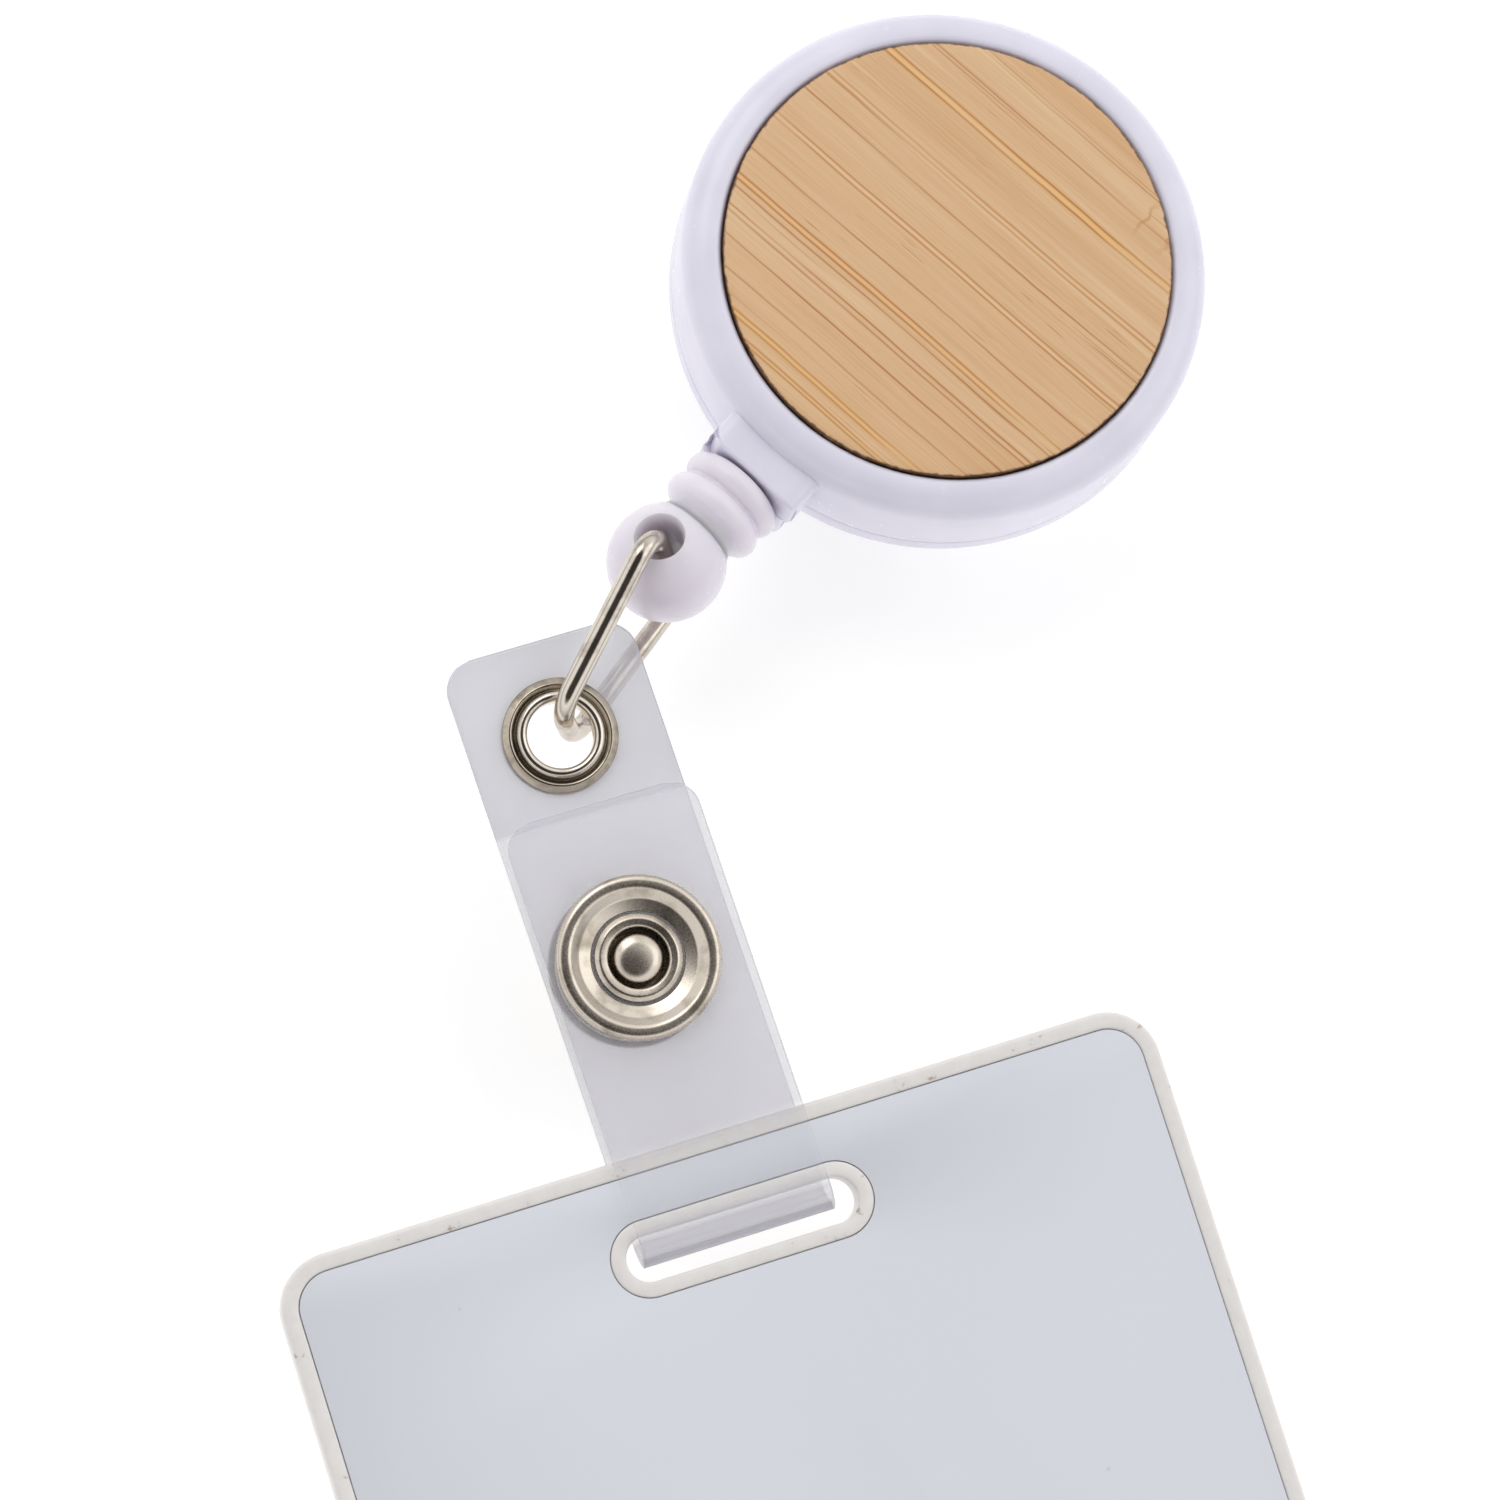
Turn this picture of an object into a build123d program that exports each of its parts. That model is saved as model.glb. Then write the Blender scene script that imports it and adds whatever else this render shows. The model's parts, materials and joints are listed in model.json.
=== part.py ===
from build123d import *
import os
from math import asin, cos, degrees, hypot, pi, radians, sin, sqrt

# A retractable badge reel lying face up on a table, with a blank badge card hooked in its strap.
# Millimetres. The reel's axis is +Z through the origin, the table is Z = 0, and the strap and the
# card run along -Y. The neck, where the cord leaves the case, points off to one side.

os.makedirs("parts", exist_ok=True)

# ---------------------------------------------------------------- driving dimensions
# Case
case_diameter = 32.0
case_thickness = 8.2
case_wall = 1.4
floor_thickness = 1.2
front_wall = 1.0
front_edge_radius = 1.5
back_edge_radius = 0.8
rear_casing_height = 2.0
spigot_wall = 0.8
spigot_height = 0.9
seam_gap = 0.03
# Bamboo inlay
bamboo_diameter = 27.3
bamboo_thickness = 0.95
bamboo_proud = 0.1
adhesive_thickness = 0.15
recess_gap = 0.12
recess_lip_radius = 0.3
# Mouth block where the cord leaves
neck_heading = 209.7
mouth_width = 7.4
mouth_height = 6.8
mouth_projection = 1.95
mouth_corner_radius = 1.2
mouth_edge_radius = 0.3
# Cord
cord_diameter = 0.9
cord_length = 750.0
cord_bore_gap = 0.3
feed_gap = 0.1
# Spool and mainspring
post_radius = 2.1
running_gap = 0.08
side_play = 0.15
spool_flange_radius = 13.2
spool_flange = 0.7
barrel_radius = 9.4
barrel_wall = 0.9
winding_depth = 2.7
cover_thickness = 0.5
spring_strip = 0.15
spring_turns = 8
# Belt clip and its rivet
clip_steel = 0.6
clip_width = 10.0
clip_length = 25.0
clip_bend_radius = 1.4
clip_tip_length = 3.5
clip_nip_gap = 0.5
clip_rest_length = 3.0
rivet_shank_radius = 1.15
rivet_head_radius = 2.5
rivet_head = 0.5
rivet_fit = 0.05
# Cord end fitting
fitting_gap = 0.15
core_radius = 2.45
rib_radius = 0.82
rib_pitch = 1.7
ball_radius = 3.6
ball_distance = 6.6
ball_hole_radius = 1.3
ball_hole_lip = 0.35
ball_hole_roll = 19.0
knot_radius = 1.0
# Wire link
wire_diameter = 1.25
link_top_half = 4.75
link_top_radius = 1.6
link_bottom_half = 2.1
link_slack = 0.55
link_bottom_radius = 1.9
# Strap
strap_width = 11.7
strap_thickness = 0.5
strap_gap = 2.1
strap_side_offset = 0.7
strap_above_eyelet = 5.8
strap_below_eyelet = 31.3
strap_corner_radius = 2.8
flap_top_offset = 4.7
flap_corner_radius = 1.8
eyelet_past_ball_x = -9.44
eyelet_past_ball_y = -8.34
# Eyelet
eyelet_bore_radius = 2.0
eyelet_sheet = 0.25
eyelet_outer_radius = 3.45
eyelet_roll = 0.5
eyelet_back = 0.35
# Press snap
snap_offset = 14.1
snap_radius = 4.9
snap_ring_inner_radius = 3.3
snap_ring_height = 0.75
snap_crimp_radius = 2.7
snap_mouth_radius = 1.8
snap_dome_radius = 1.5
snap_sheet = 0.3
snap_stud_gap = 0.1
snap_tube_wall = 0.3
# Badge card
card_width = 54.0
card_height = 86.0
card_thickness = 1.8
card_corner_radius = 3.2
card_border = 1.0
card_edge_radius = 0.3
card_side_offset = 1.2
panel_thickness = 0.3
panel_gap = 0.06
panel_inset = 0.06
slot_side_gap = 1.25
slot_height = 2.7
slot_ring = 0.9
slot_clear_below_fold = 1.0
bridge_length = 4.55
table_gap = 0.05

# ---------------------------------------------------------------- derived heights and radii
case_radius = case_diameter / 2
back_z = 2 * (clip_bend_radius + clip_steel)
front_z = back_z + case_thickness
floor_z = back_z + floor_thickness
seam_z = back_z + rear_casing_height
recess_floor_z = front_z + bamboo_proud - bamboo_thickness - adhesive_thickness
ceiling_z = recess_floor_z - front_wall
cavity_radius = case_radius - case_wall
cord_z = (back_z + front_z) / 2
cord_radius = cord_diameter / 2
cord_bore_radius = cord_radius + cord_bore_gap
mouth_face = case_radius + mouth_projection

# ---------------------------------------------------------------- placing planes
neck_direction = Vector(cos(radians(neck_heading)), sin(radians(neck_heading)), 0)
neck_side = Vector(-neck_direction.Y, neck_direction.X, 0)
neck_plane = Plane(origin=(0, 0, cord_z), x_dir=neck_side, z_dir=neck_direction)
neck_axis = Axis((0, 0, cord_z), neck_direction)
# The upright plane through the neck: its x runs out along the neck and its y is up.
neck_section = Plane(origin=(0, 0, 0), x_dir=neck_direction, z_dir=neck_direction.cross(Vector(0, 0, 1)))
fitting_start = mouth_face + fitting_gap
ball_centre = fitting_start + ball_distance
ball_point = neck_direction * ball_centre + Vector(0, 0, cord_z)

# The strap and the card lie on one plane that slopes down to the table at the card's far edge.
leaf_top = strap_thickness / 2
flap_bottom = leaf_top + strap_gap
flap_top = flap_bottom + strap_thickness
card_bottom = leaf_top + (strap_gap - card_thickness) / 2
fold_radius = (strap_gap + 2 * strap_thickness) / 2
slot_length = strap_width + 2 * slot_side_gap
fold_y = -(strap_below_eyelet - fold_radius)
slot_bottom_y = -(strap_below_eyelet + slot_clear_below_fold)
slot_y = slot_bottom_y + slot_height / 2
card_top_y = slot_bottom_y + slot_height + bridge_length
card_centre_y = card_top_y - card_height / 2
slope = asin((cord_z + card_bottom - table_gap) / (card_height - card_top_y))
eyelet_point = ball_point + Vector(eyelet_past_ball_x, eyelet_past_ball_y, 0)
strap_plane = Plane(origin=eyelet_point, x_dir=(1, 0, 0), z_dir=(0, -sin(slope), cos(slope)))
strap_side = Plane(origin=eyelet_point, x_dir=strap_plane.y_dir, z_dir=(1, 0, 0))
leaf_side = strap_side.offset(strap_side_offset)

# ---------------------------------------------------------------- rear casing
with BuildPart() as rear_casing:
    with BuildSketch(Plane.XY.offset(back_z)):
        Circle(case_radius)
    extrude(amount=rear_casing_height)
    fillet(rear_casing.edges().group_by(Axis.Z)[0], radius=back_edge_radius)
    # Lower half of the mouth block, up to the cord's axis
    with BuildSketch(neck_plane.offset(cavity_radius)):
        RectangleRounded(mouth_width, mouth_height, mouth_corner_radius)
        with Locations((0, mouth_height / 2)):
            Rectangle(mouth_width, mouth_height, mode=Mode.SUBTRACT)
    extrude(amount=mouth_face - cavity_radius)
    with BuildSketch(Plane.XY.offset(floor_z)):
        Circle(cavity_radius)
    extrude(amount=case_thickness, mode=Mode.SUBTRACT)
    # Spigot that the front casing presses over
    with BuildSketch(Plane.XY.offset(floor_z)):
        Circle(cavity_radius - seam_gap)
        Circle(cavity_radius - seam_gap - spigot_wall, mode=Mode.SUBTRACT)
    extrude(amount=seam_z + spigot_height - floor_z)
    with BuildSketch(Plane.XY.offset(floor_z)):
        Circle(post_radius)
    extrude(amount=ceiling_z - side_play - cover_thickness - side_play - floor_z)
    with BuildSketch(Plane.XY.offset(back_z)):
        Circle(rivet_shank_radius + rivet_fit)
    extrude(amount=case_thickness, mode=Mode.SUBTRACT)
    with BuildSketch(neck_plane.offset(cavity_radius - spigot_wall)):
        Circle(cord_bore_radius)
    extrude(amount=mouth_face, mode=Mode.SUBTRACT)
rear_casing.part.label = "rear_casing"

# ---------------------------------------------------------------- front casing
with BuildPart() as front_casing:
    with BuildSketch(Plane.XY.offset(seam_z)):
        Circle(case_radius)
    extrude(amount=front_z - seam_z)
    fillet(front_casing.edges().group_by(Axis.Z)[-1], radius=front_edge_radius)
    # Notch in the side wall for the rear casing's half of the mouth block
    with BuildSketch(neck_plane.offset(cavity_radius - case_wall)):
        with Locations((0, -mouth_height / 2)):
            Rectangle(mouth_width + 2 * seam_gap, mouth_height)
    extrude(amount=case_wall + mouth_face, mode=Mode.SUBTRACT)
    # Upper half of the mouth block
    with BuildSketch(neck_plane.offset(cavity_radius)):
        RectangleRounded(mouth_width, mouth_height, mouth_corner_radius)
        with Locations((0, -mouth_height / 2)):
            Rectangle(mouth_width, mouth_height, mode=Mode.SUBTRACT)
    extrude(amount=mouth_face - cavity_radius)
    with BuildSketch(Plane.XY.offset(seam_z)):
        Circle(cavity_radius)
    extrude(amount=ceiling_z - seam_z, mode=Mode.SUBTRACT)
    with BuildSketch(Plane.XY.offset(recess_floor_z)):
        Circle(bamboo_diameter / 2 + recess_gap)
    extrude(amount=case_thickness, mode=Mode.SUBTRACT)
    lip = front_casing.edges().filter_by(GeomType.CIRCLE).group_by(Axis.Z)[-1].sort_by(SortBy.RADIUS)[0]
    fillet(lip, radius=recess_lip_radius)
    with BuildSketch(neck_plane.offset(cavity_radius - case_wall)):
        Circle(cord_bore_radius)
    extrude(amount=mouth_face, mode=Mode.SUBTRACT)
front_casing.part.label = "front_casing"

# ---------------------------------------------------------------- bamboo inlay and its adhesive pad
with BuildPart() as disc_adhesive:
    with BuildSketch(Plane.XY.offset(recess_floor_z)):
        Circle(bamboo_diameter / 2 - case_wall)
    extrude(amount=adhesive_thickness)
disc_adhesive.part.label = "disc_adhesive"

with BuildPart() as bamboo_disc:
    with BuildSketch(Plane.XY.offset(recess_floor_z + adhesive_thickness)):
        Circle(bamboo_diameter / 2)
    extrude(amount=bamboo_thickness)
bamboo_disc.part.label = "bamboo_disc"

# ---------------------------------------------------------------- spool, its cover and the mainspring
spool_bottom_z = floor_z + side_play
spool_top_z = ceiling_z - side_play
groove_bottom_z = spool_bottom_z + spool_flange
groove_top_z = spool_top_z - spool_flange
spring_floor_z = groove_bottom_z + side_play
cover_z = spool_top_z - cover_thickness
spring_chamber_radius = barrel_radius - barrel_wall

with BuildPart() as spool:
    with BuildSketch(Plane.XZ):
        with BuildLine():
            Polyline(
                (post_radius + running_gap, spool_bottom_z),
                (spool_flange_radius, spool_bottom_z),
                (spool_flange_radius, groove_bottom_z),
                (barrel_radius, groove_bottom_z),
                (barrel_radius, groove_top_z),
                (spool_flange_radius, groove_top_z),
                (spool_flange_radius, spool_top_z),
                (barrel_radius, spool_top_z),
                (barrel_radius, cover_z),
                (spring_chamber_radius, cover_z),
                (spring_chamber_radius, spring_floor_z),
                (post_radius + running_gap, spring_floor_z),
                close=True,
            )
        make_face()
    revolve(axis=Axis.Z)
spool.part.label = "spool"

with BuildPart() as spool_cover:
    with BuildSketch(Plane.XY.offset(cover_z)):
        Circle(barrel_radius - running_gap)
    extrude(amount=cover_thickness)
spool_cover.part.label = "spool_cover"

# The spiral's two faces are splines a strip's thickness apart, from the post out to the barrel.
spring_inner_radius = post_radius + 2 * running_gap + spring_strip
spring_outer_radius = spring_chamber_radius - running_gap - spring_strip
points_per_turn = 12
spiral_steps = spring_turns * points_per_turn


def spiral_point(step, offset):
    turn = 2 * pi * step / points_per_turn
    radius = spring_inner_radius + (spring_outer_radius - spring_inner_radius) * step / spiral_steps
    return ((radius + offset) * cos(turn), (radius + offset) * sin(turn))


with BuildPart() as mainspring:
    with BuildSketch(Plane.XY.offset(spring_floor_z + side_play)):
        with BuildLine():
            inside = Spline(*[spiral_point(step, -spring_strip / 2) for step in range(spiral_steps + 1)])
            outside = Spline(*[spiral_point(step, spring_strip / 2) for step in range(spiral_steps + 1)])
            Line(inside @ 0, outside @ 0)
            Line(inside @ 1, outside @ 1)
        make_face()
    extrude(amount=cover_z - side_play - spring_floor_z - side_play)
mainspring.part.label = "mainspring"

# ---------------------------------------------------------------- cord: winding, feed, lead and knot
winding_radius = barrel_radius + winding_depth
feed_radius = winding_radius + cord_radius + feed_gap
lead_start = cavity_radius
feed_run = sqrt(lead_start**2 - feed_radius**2)
feed_length = feed_run - cord_diameter - feed_gap

with BuildPart() as cord_winding:
    with BuildSketch(Plane.XY.offset(groove_bottom_z + running_gap)):
        Circle(winding_radius)
        Circle(barrel_radius, mode=Mode.SUBTRACT)
    extrude(amount=groove_top_z - groove_bottom_z - 2 * running_gap)
cord_winding.part.label = "cord_winding"

# The feed leaves the winding at a tangent and runs to the inner end of the mouth's bore.
feed_heading = radians(neck_heading) + asin(feed_run / lead_start)
feed_tangent = Vector(cos(feed_heading), sin(feed_heading), 0)
feed_direction = Vector(sin(feed_heading), -cos(feed_heading), 0)
feed_start = feed_tangent * feed_radius + Vector(0, 0, cord_z)

with BuildPart() as cord_feed:
    with BuildSketch(Plane(origin=feed_start, z_dir=feed_direction)):
        Circle(cord_radius)
    extrude(amount=feed_length)
cord_feed.part.label = "cord_feed"

knot_centre = fitting_start + rib_pitch
lead_end = knot_centre - sqrt(knot_radius**2 - cord_radius**2)

with BuildPart() as cord_lead:
    with BuildSketch(neck_plane.offset(lead_start)):
        Circle(cord_radius)
    extrude(amount=lead_end - lead_start)
cord_lead.part.label = "cord_lead"

with BuildPart() as cord_knot:
    with BuildSketch(neck_section):
        with BuildLine():
            Line((knot_centre - knot_radius, cord_z), (knot_centre + knot_radius, cord_z))
            ThreePointArc(
                (knot_centre + knot_radius, cord_z),
                (knot_centre, cord_z + knot_radius),
                (knot_centre - knot_radius, cord_z),
            )
        make_face()
    revolve(axis=neck_axis)
    with BuildSketch(neck_plane.offset(lead_start)):
        Circle(cord_radius)
    extrude(amount=lead_end - lead_start, mode=Mode.SUBTRACT)
cord_knot.part.label = "cord_knot"

# ---------------------------------------------------------------- cord end fitting: two ribs and a ball
rib_centres = [fitting_start + rib_radius + rib_pitch * k for k in range(2)]
roll = radians(ball_hole_roll)
hole_direction = neck_side * -sin(roll) + Vector(0, 0, cos(roll))
hole_plane = Plane(origin=ball_point, z_dir=hole_direction)

with BuildPart() as cord_end_fitting:
    with BuildSketch(neck_section):
        with Locations(((fitting_start + ball_centre) / 2, cord_z)):
            Rectangle(ball_centre - fitting_start, 2 * core_radius)
        with Locations(*[(centre, cord_z + core_radius) for centre in rib_centres]):
            Circle(rib_radius)
        with Locations((ball_centre, cord_z)):
            Circle(ball_radius)
        with Locations((ball_centre, cord_z - case_radius)):
            Rectangle(4 * case_radius, 2 * case_radius, mode=Mode.SUBTRACT)
    revolve(axis=neck_axis)
    with BuildSketch(hole_plane):
        Circle(ball_hole_radius)
    extrude(amount=2 * ball_radius, both=True, mode=Mode.SUBTRACT)
    hole_rims = [
        edge
        for edge in cord_end_fitting.edges()
        if abs((edge.center() - ball_point).cross(hole_direction).length) < ball_hole_radius
        and abs((edge.center() - ball_point).dot(hole_direction)) > ball_radius / 2
        and edge.length > pi * ball_hole_radius
    ]
    fillet(hole_rims, radius=ball_hole_lip)
    with BuildSketch(neck_plane.offset(fitting_start)):
        Circle(cord_radius + running_gap)
    extrude(amount=rib_pitch, mode=Mode.SUBTRACT)
    with BuildSketch(neck_section):
        with BuildLine():
            Line((knot_centre - knot_radius, cord_z), (knot_centre + knot_radius, cord_z))
            ThreePointArc(
                (knot_centre + knot_radius, cord_z),
                (knot_centre, cord_z + knot_radius),
                (knot_centre - knot_radius, cord_z),
            )
        make_face()
    revolve(axis=neck_axis, mode=Mode.SUBTRACT)
cord_end_fitting.part.label = "cord_end_fitting"

# ---------------------------------------------------------------- wire link from the ball to the eyelet
wire_radius = wire_diameter / 2
link_reach = hypot(eyelet_past_ball_x, eyelet_past_ball_y)
link_length = link_reach - (eyelet_bore_radius - wire_radius) + link_slack
link_direction = (eyelet_point - ball_point).normalized()
link_across = (hole_direction - link_direction * hole_direction.dot(link_direction)).normalized()
link_plane = Plane(origin=ball_point, x_dir=link_direction, z_dir=link_direction.cross(link_across))

with BuildPart() as wire_link:
    with BuildLine(link_plane) as link_path:
        FilletPolyline(
            (0, -link_top_half),
            (0, link_top_half),
            (link_length, link_bottom_half),
            (link_length, -link_bottom_half),
            radius=[link_top_radius, link_top_radius, link_bottom_radius, link_bottom_radius],
            close=True,
        )
    with BuildSketch(Plane(origin=link_path.line @ 0, z_dir=link_path.line % 0)):
        Circle(wire_radius)
    sweep(path=link_path.line)
wire_link.part.label = "wire_link"

# ---------------------------------------------------------------- strap: rear leaf with the fold
leaf_length = strap_above_eyelet - fold_y
with BuildPart() as strap_rear_leaf:
    with BuildSketch(leaf_side):
        with BuildLine():
            Line((strap_above_eyelet, -leaf_top), (fold_y, -leaf_top))
            ThreePointArc(
                (fold_y, -leaf_top),
                (fold_y - fold_radius, -leaf_top + fold_radius),
                (fold_y, flap_top),
            )
            Line((fold_y, flap_top), (fold_y, flap_bottom))
            ThreePointArc(
                (fold_y, flap_bottom),
                (fold_y - fold_radius + strap_thickness, -leaf_top + fold_radius),
                (fold_y, leaf_top),
            )
            Line((fold_y, leaf_top), (strap_above_eyelet, leaf_top))
            Line((strap_above_eyelet, leaf_top), (strap_above_eyelet, -leaf_top))
        make_face()
    extrude(amount=strap_width / 2, both=True)
    top_corners = strap_rear_leaf.edges().filter_by(Axis(eyelet_point, strap_plane.z_dir)).group_by(Axis.Y)[-1]
    fillet(top_corners, radius=strap_corner_radius)
    with BuildSketch(strap_plane.offset(-leaf_top)):
        Circle(eyelet_bore_radius + eyelet_sheet)
        with Locations((0, -snap_offset)):
            Circle(snap_mouth_radius)
    extrude(amount=strap_thickness, mode=Mode.SUBTRACT)
strap_rear_leaf.part.label = "strap_rear_leaf"

# ---------------------------------------------------------------- strap: front flap
flap_height = -flap_top_offset - fold_y
socket_tube_radius = snap_mouth_radius + snap_tube_wall
with BuildPart() as strap_front_flap:
    with BuildSketch(strap_plane.offset(flap_bottom)):
        with Locations((strap_side_offset, fold_y + flap_height / 2)):
            Rectangle(strap_width, flap_height)
        with Locations((0, -snap_offset)):
            Circle(socket_tube_radius, mode=Mode.SUBTRACT)
    extrude(amount=strap_thickness)
    flap_corners = strap_front_flap.edges().filter_by(Axis(eyelet_point, strap_plane.z_dir)).group_by(Axis.Y)[-1]
    fillet(flap_corners, radius=flap_corner_radius)
strap_front_flap.part.label = "strap_front_flap"

# ---------------------------------------------------------------- eyelet: barrel and washer
# Both are turned about the eyelet's axis, from sections drawn in the strap's side plane.
eyelet_axis = Axis(eyelet_point, strap_plane.z_dir)
tube_radius = eyelet_bore_radius + eyelet_sheet
roll_radius = eyelet_roll / 2
with BuildPart() as eyelet_washer:
    with BuildSketch(strap_side):
        with BuildLine():
            Polyline(
                (tube_radius, leaf_top),
                (eyelet_outer_radius, leaf_top),
                (eyelet_outer_radius, leaf_top + eyelet_sheet),
                (eyelet_outer_radius - eyelet_sheet, leaf_top + 2 * eyelet_sheet),
                (tube_radius + 2 * eyelet_sheet, leaf_top + eyelet_sheet),
                (tube_radius, leaf_top + eyelet_sheet),
                close=True,
            )
        make_face()
    revolve(axis=eyelet_axis)
eyelet_washer.part.label = "eyelet_washer"

washer_top = leaf_top + eyelet_sheet
with BuildPart() as eyelet_barrel:
    with BuildSketch(strap_side):
        with BuildLine():
            Polyline(
                (eyelet_bore_radius, washer_top + roll_radius),
                (eyelet_bore_radius, -leaf_top - eyelet_back + eyelet_sheet),
                (eyelet_bore_radius + eyelet_sheet, -leaf_top - eyelet_back),
                (eyelet_outer_radius - eyelet_sheet, -leaf_top - eyelet_back),
                (eyelet_outer_radius, -leaf_top),
                (tube_radius, -leaf_top),
                (tube_radius, washer_top),
                (eyelet_bore_radius + 2 * roll_radius, washer_top),
                (eyelet_bore_radius + 2 * roll_radius, washer_top + roll_radius),
            )
            ThreePointArc(
                (eyelet_bore_radius + 2 * roll_radius, washer_top + roll_radius),
                (eyelet_bore_radius + roll_radius, washer_top + 2 * roll_radius),
                (eyelet_bore_radius, washer_top + roll_radius),
            )
        make_face()
    revolve(axis=eyelet_axis)
eyelet_barrel.part.label = "eyelet_barrel"

# ---------------------------------------------------------------- press snap
snap_point = eyelet_point - strap_plane.y_dir * snap_offset
snap_axis = Axis(snap_point, strap_plane.z_dir)
snap_side = Plane(origin=snap_point, x_dir=strap_plane.y_dir, z_dir=(1, 0, 0))
ring_mid_radius = (snap_radius + snap_ring_inner_radius) / 2

# Open ring with a domed, rolled rim on the front of the flap
with BuildPart() as snap_ring:
    with BuildSketch(snap_side):
        with BuildLine():
            Line((snap_ring_inner_radius, flap_top), (snap_radius, flap_top))
            Line((snap_radius, flap_top), (snap_radius, flap_top + snap_sheet))
            ThreePointArc(
                (snap_radius, flap_top + snap_sheet),
                (ring_mid_radius, flap_top + snap_ring_height),
                (snap_ring_inner_radius, flap_top),
            )
        make_face()
    revolve(axis=snap_axis)
snap_ring.part.label = "snap_ring"

# Socket behind the flap; its tube comes through the vinyl and is crimped over in front.
socket_bottom = leaf_top + snap_sheet + snap_stud_gap
with BuildPart() as snap_socket:
    with BuildSketch(snap_side):
        with BuildLine():
            Polyline(
                (snap_mouth_radius, socket_bottom),
                (snap_radius - snap_sheet, socket_bottom),
                (snap_radius - snap_sheet, flap_bottom),
                (socket_tube_radius, flap_bottom),
                (socket_tube_radius, flap_top),
                (snap_crimp_radius, flap_top),
                (snap_crimp_radius, flap_top + snap_sheet / 2),
            )
            ThreePointArc(
                (snap_crimp_radius, flap_top + snap_sheet / 2),
                ((snap_crimp_radius + snap_mouth_radius) / 2, flap_top + 1.5 * snap_sheet),
                (snap_mouth_radius, flap_top + snap_sheet / 2),
            )
            Line((snap_mouth_radius, flap_top + snap_sheet / 2), (snap_mouth_radius, socket_bottom))
        make_face()
    revolve(axis=snap_axis)
snap_socket.part.label = "snap_socket"

# Stud on the rear leaf: a flat foot, a post and a rounded head that shows through the socket
head_proud = snap_sheet
with BuildPart() as snap_stud:
    with BuildSketch(strap_plane.offset(leaf_top)):
        with Locations((0, -snap_offset)):
            Circle(snap_radius - snap_sheet)
    extrude(amount=snap_sheet)
    with BuildSketch(strap_plane.offset(leaf_top + snap_sheet)):
        with Locations((0, -snap_offset)):
            Circle(snap_dome_radius)
    extrude(amount=flap_top + head_proud - leaf_top - snap_sheet)
    fillet(snap_stud.edges().filter_by(GeomType.CIRCLE).sort_by(snap_axis)[-1], radius=2 * snap_sheet)
snap_stud.part.label = "snap_stud"

# Matching ring on the back of the rear leaf, with a rivet tube that holds the stud's foot
with BuildPart() as snap_back_ring:
    with BuildSketch(snap_side):
        with BuildLine():
            Polyline(
                (0, leaf_top),
                (snap_mouth_radius, leaf_top),
                (snap_mouth_radius, -leaf_top),
                (snap_radius, -leaf_top),
                (snap_radius, -leaf_top - snap_sheet),
            )
            ThreePointArc(
                (snap_radius, -leaf_top - snap_sheet),
                (ring_mid_radius, -leaf_top - snap_ring_height),
                (snap_ring_inner_radius, -leaf_top - snap_sheet),
            )
            Polyline(
                (snap_ring_inner_radius, -leaf_top - snap_sheet),
                (0, -leaf_top - snap_sheet),
                (0, leaf_top),
            )
        make_face()
    revolve(axis=snap_axis)
snap_back_ring.part.label = "snap_back_ring"

# ---------------------------------------------------------------- badge card: tray and inset panel
card_plane = strap_plane.offset(card_bottom)
card_centre = (card_side_offset, card_centre_y)
slot_centre = (card_side_offset, slot_y)
panel_width = card_width - 2 * (card_border + panel_gap)
panel_height = card_height - 2 * (card_border + panel_gap)
ring_length = slot_length + 2 * slot_ring
ring_height = slot_height + 2 * slot_ring
pocket_z = card_thickness - panel_inset - panel_thickness

with BuildPart() as card_tray:
    with BuildSketch(card_plane):
        with Locations(card_centre):
            RectangleRounded(card_width, card_height, card_corner_radius)
    extrude(amount=card_thickness)
    card_normal = Axis(eyelet_point, strap_plane.z_dir)
    fillet(card_tray.edges().group_by(card_normal)[0], radius=card_edge_radius)
    fillet(card_tray.edges().group_by(card_normal)[-1], radius=card_edge_radius)
    with BuildSketch(card_plane.offset(pocket_z)):
        with Locations(card_centre):
            RectangleRounded(
                card_width - 2 * card_border,
                card_height - 2 * card_border,
                card_corner_radius - card_border,
            )
        with Locations(slot_centre):
            SlotOverall(ring_length, ring_height, mode=Mode.SUBTRACT)
    extrude(amount=card_thickness, mode=Mode.SUBTRACT)
    with BuildSketch(card_plane):
        with Locations(slot_centre):
            SlotOverall(slot_length, slot_height)
    extrude(amount=card_thickness, mode=Mode.SUBTRACT)
card_tray.part.label = "card_tray"

with BuildPart() as card_face:
    with BuildSketch(card_plane.offset(pocket_z)):
        with Locations(card_centre):
            RectangleRounded(panel_width, panel_height, card_corner_radius - card_border - panel_gap)
        with Locations(slot_centre):
            SlotOverall(ring_length + 2 * panel_gap, ring_height + 2 * panel_gap, mode=Mode.SUBTRACT)
    extrude(amount=panel_thickness)
card_face.part.label = "card_face"

# ---------------------------------------------------------------- belt clip: riveted plate with its bend, and tongue
clip_axis_z = back_z / 2
clip_start = -clip_length / 2
plate_bottom_z = back_z - clip_steel
nip_x = clip_length / 2 - clip_tip_length
nip_top_z = plate_bottom_z - clip_nip_gap
tip_x = clip_length / 2

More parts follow.
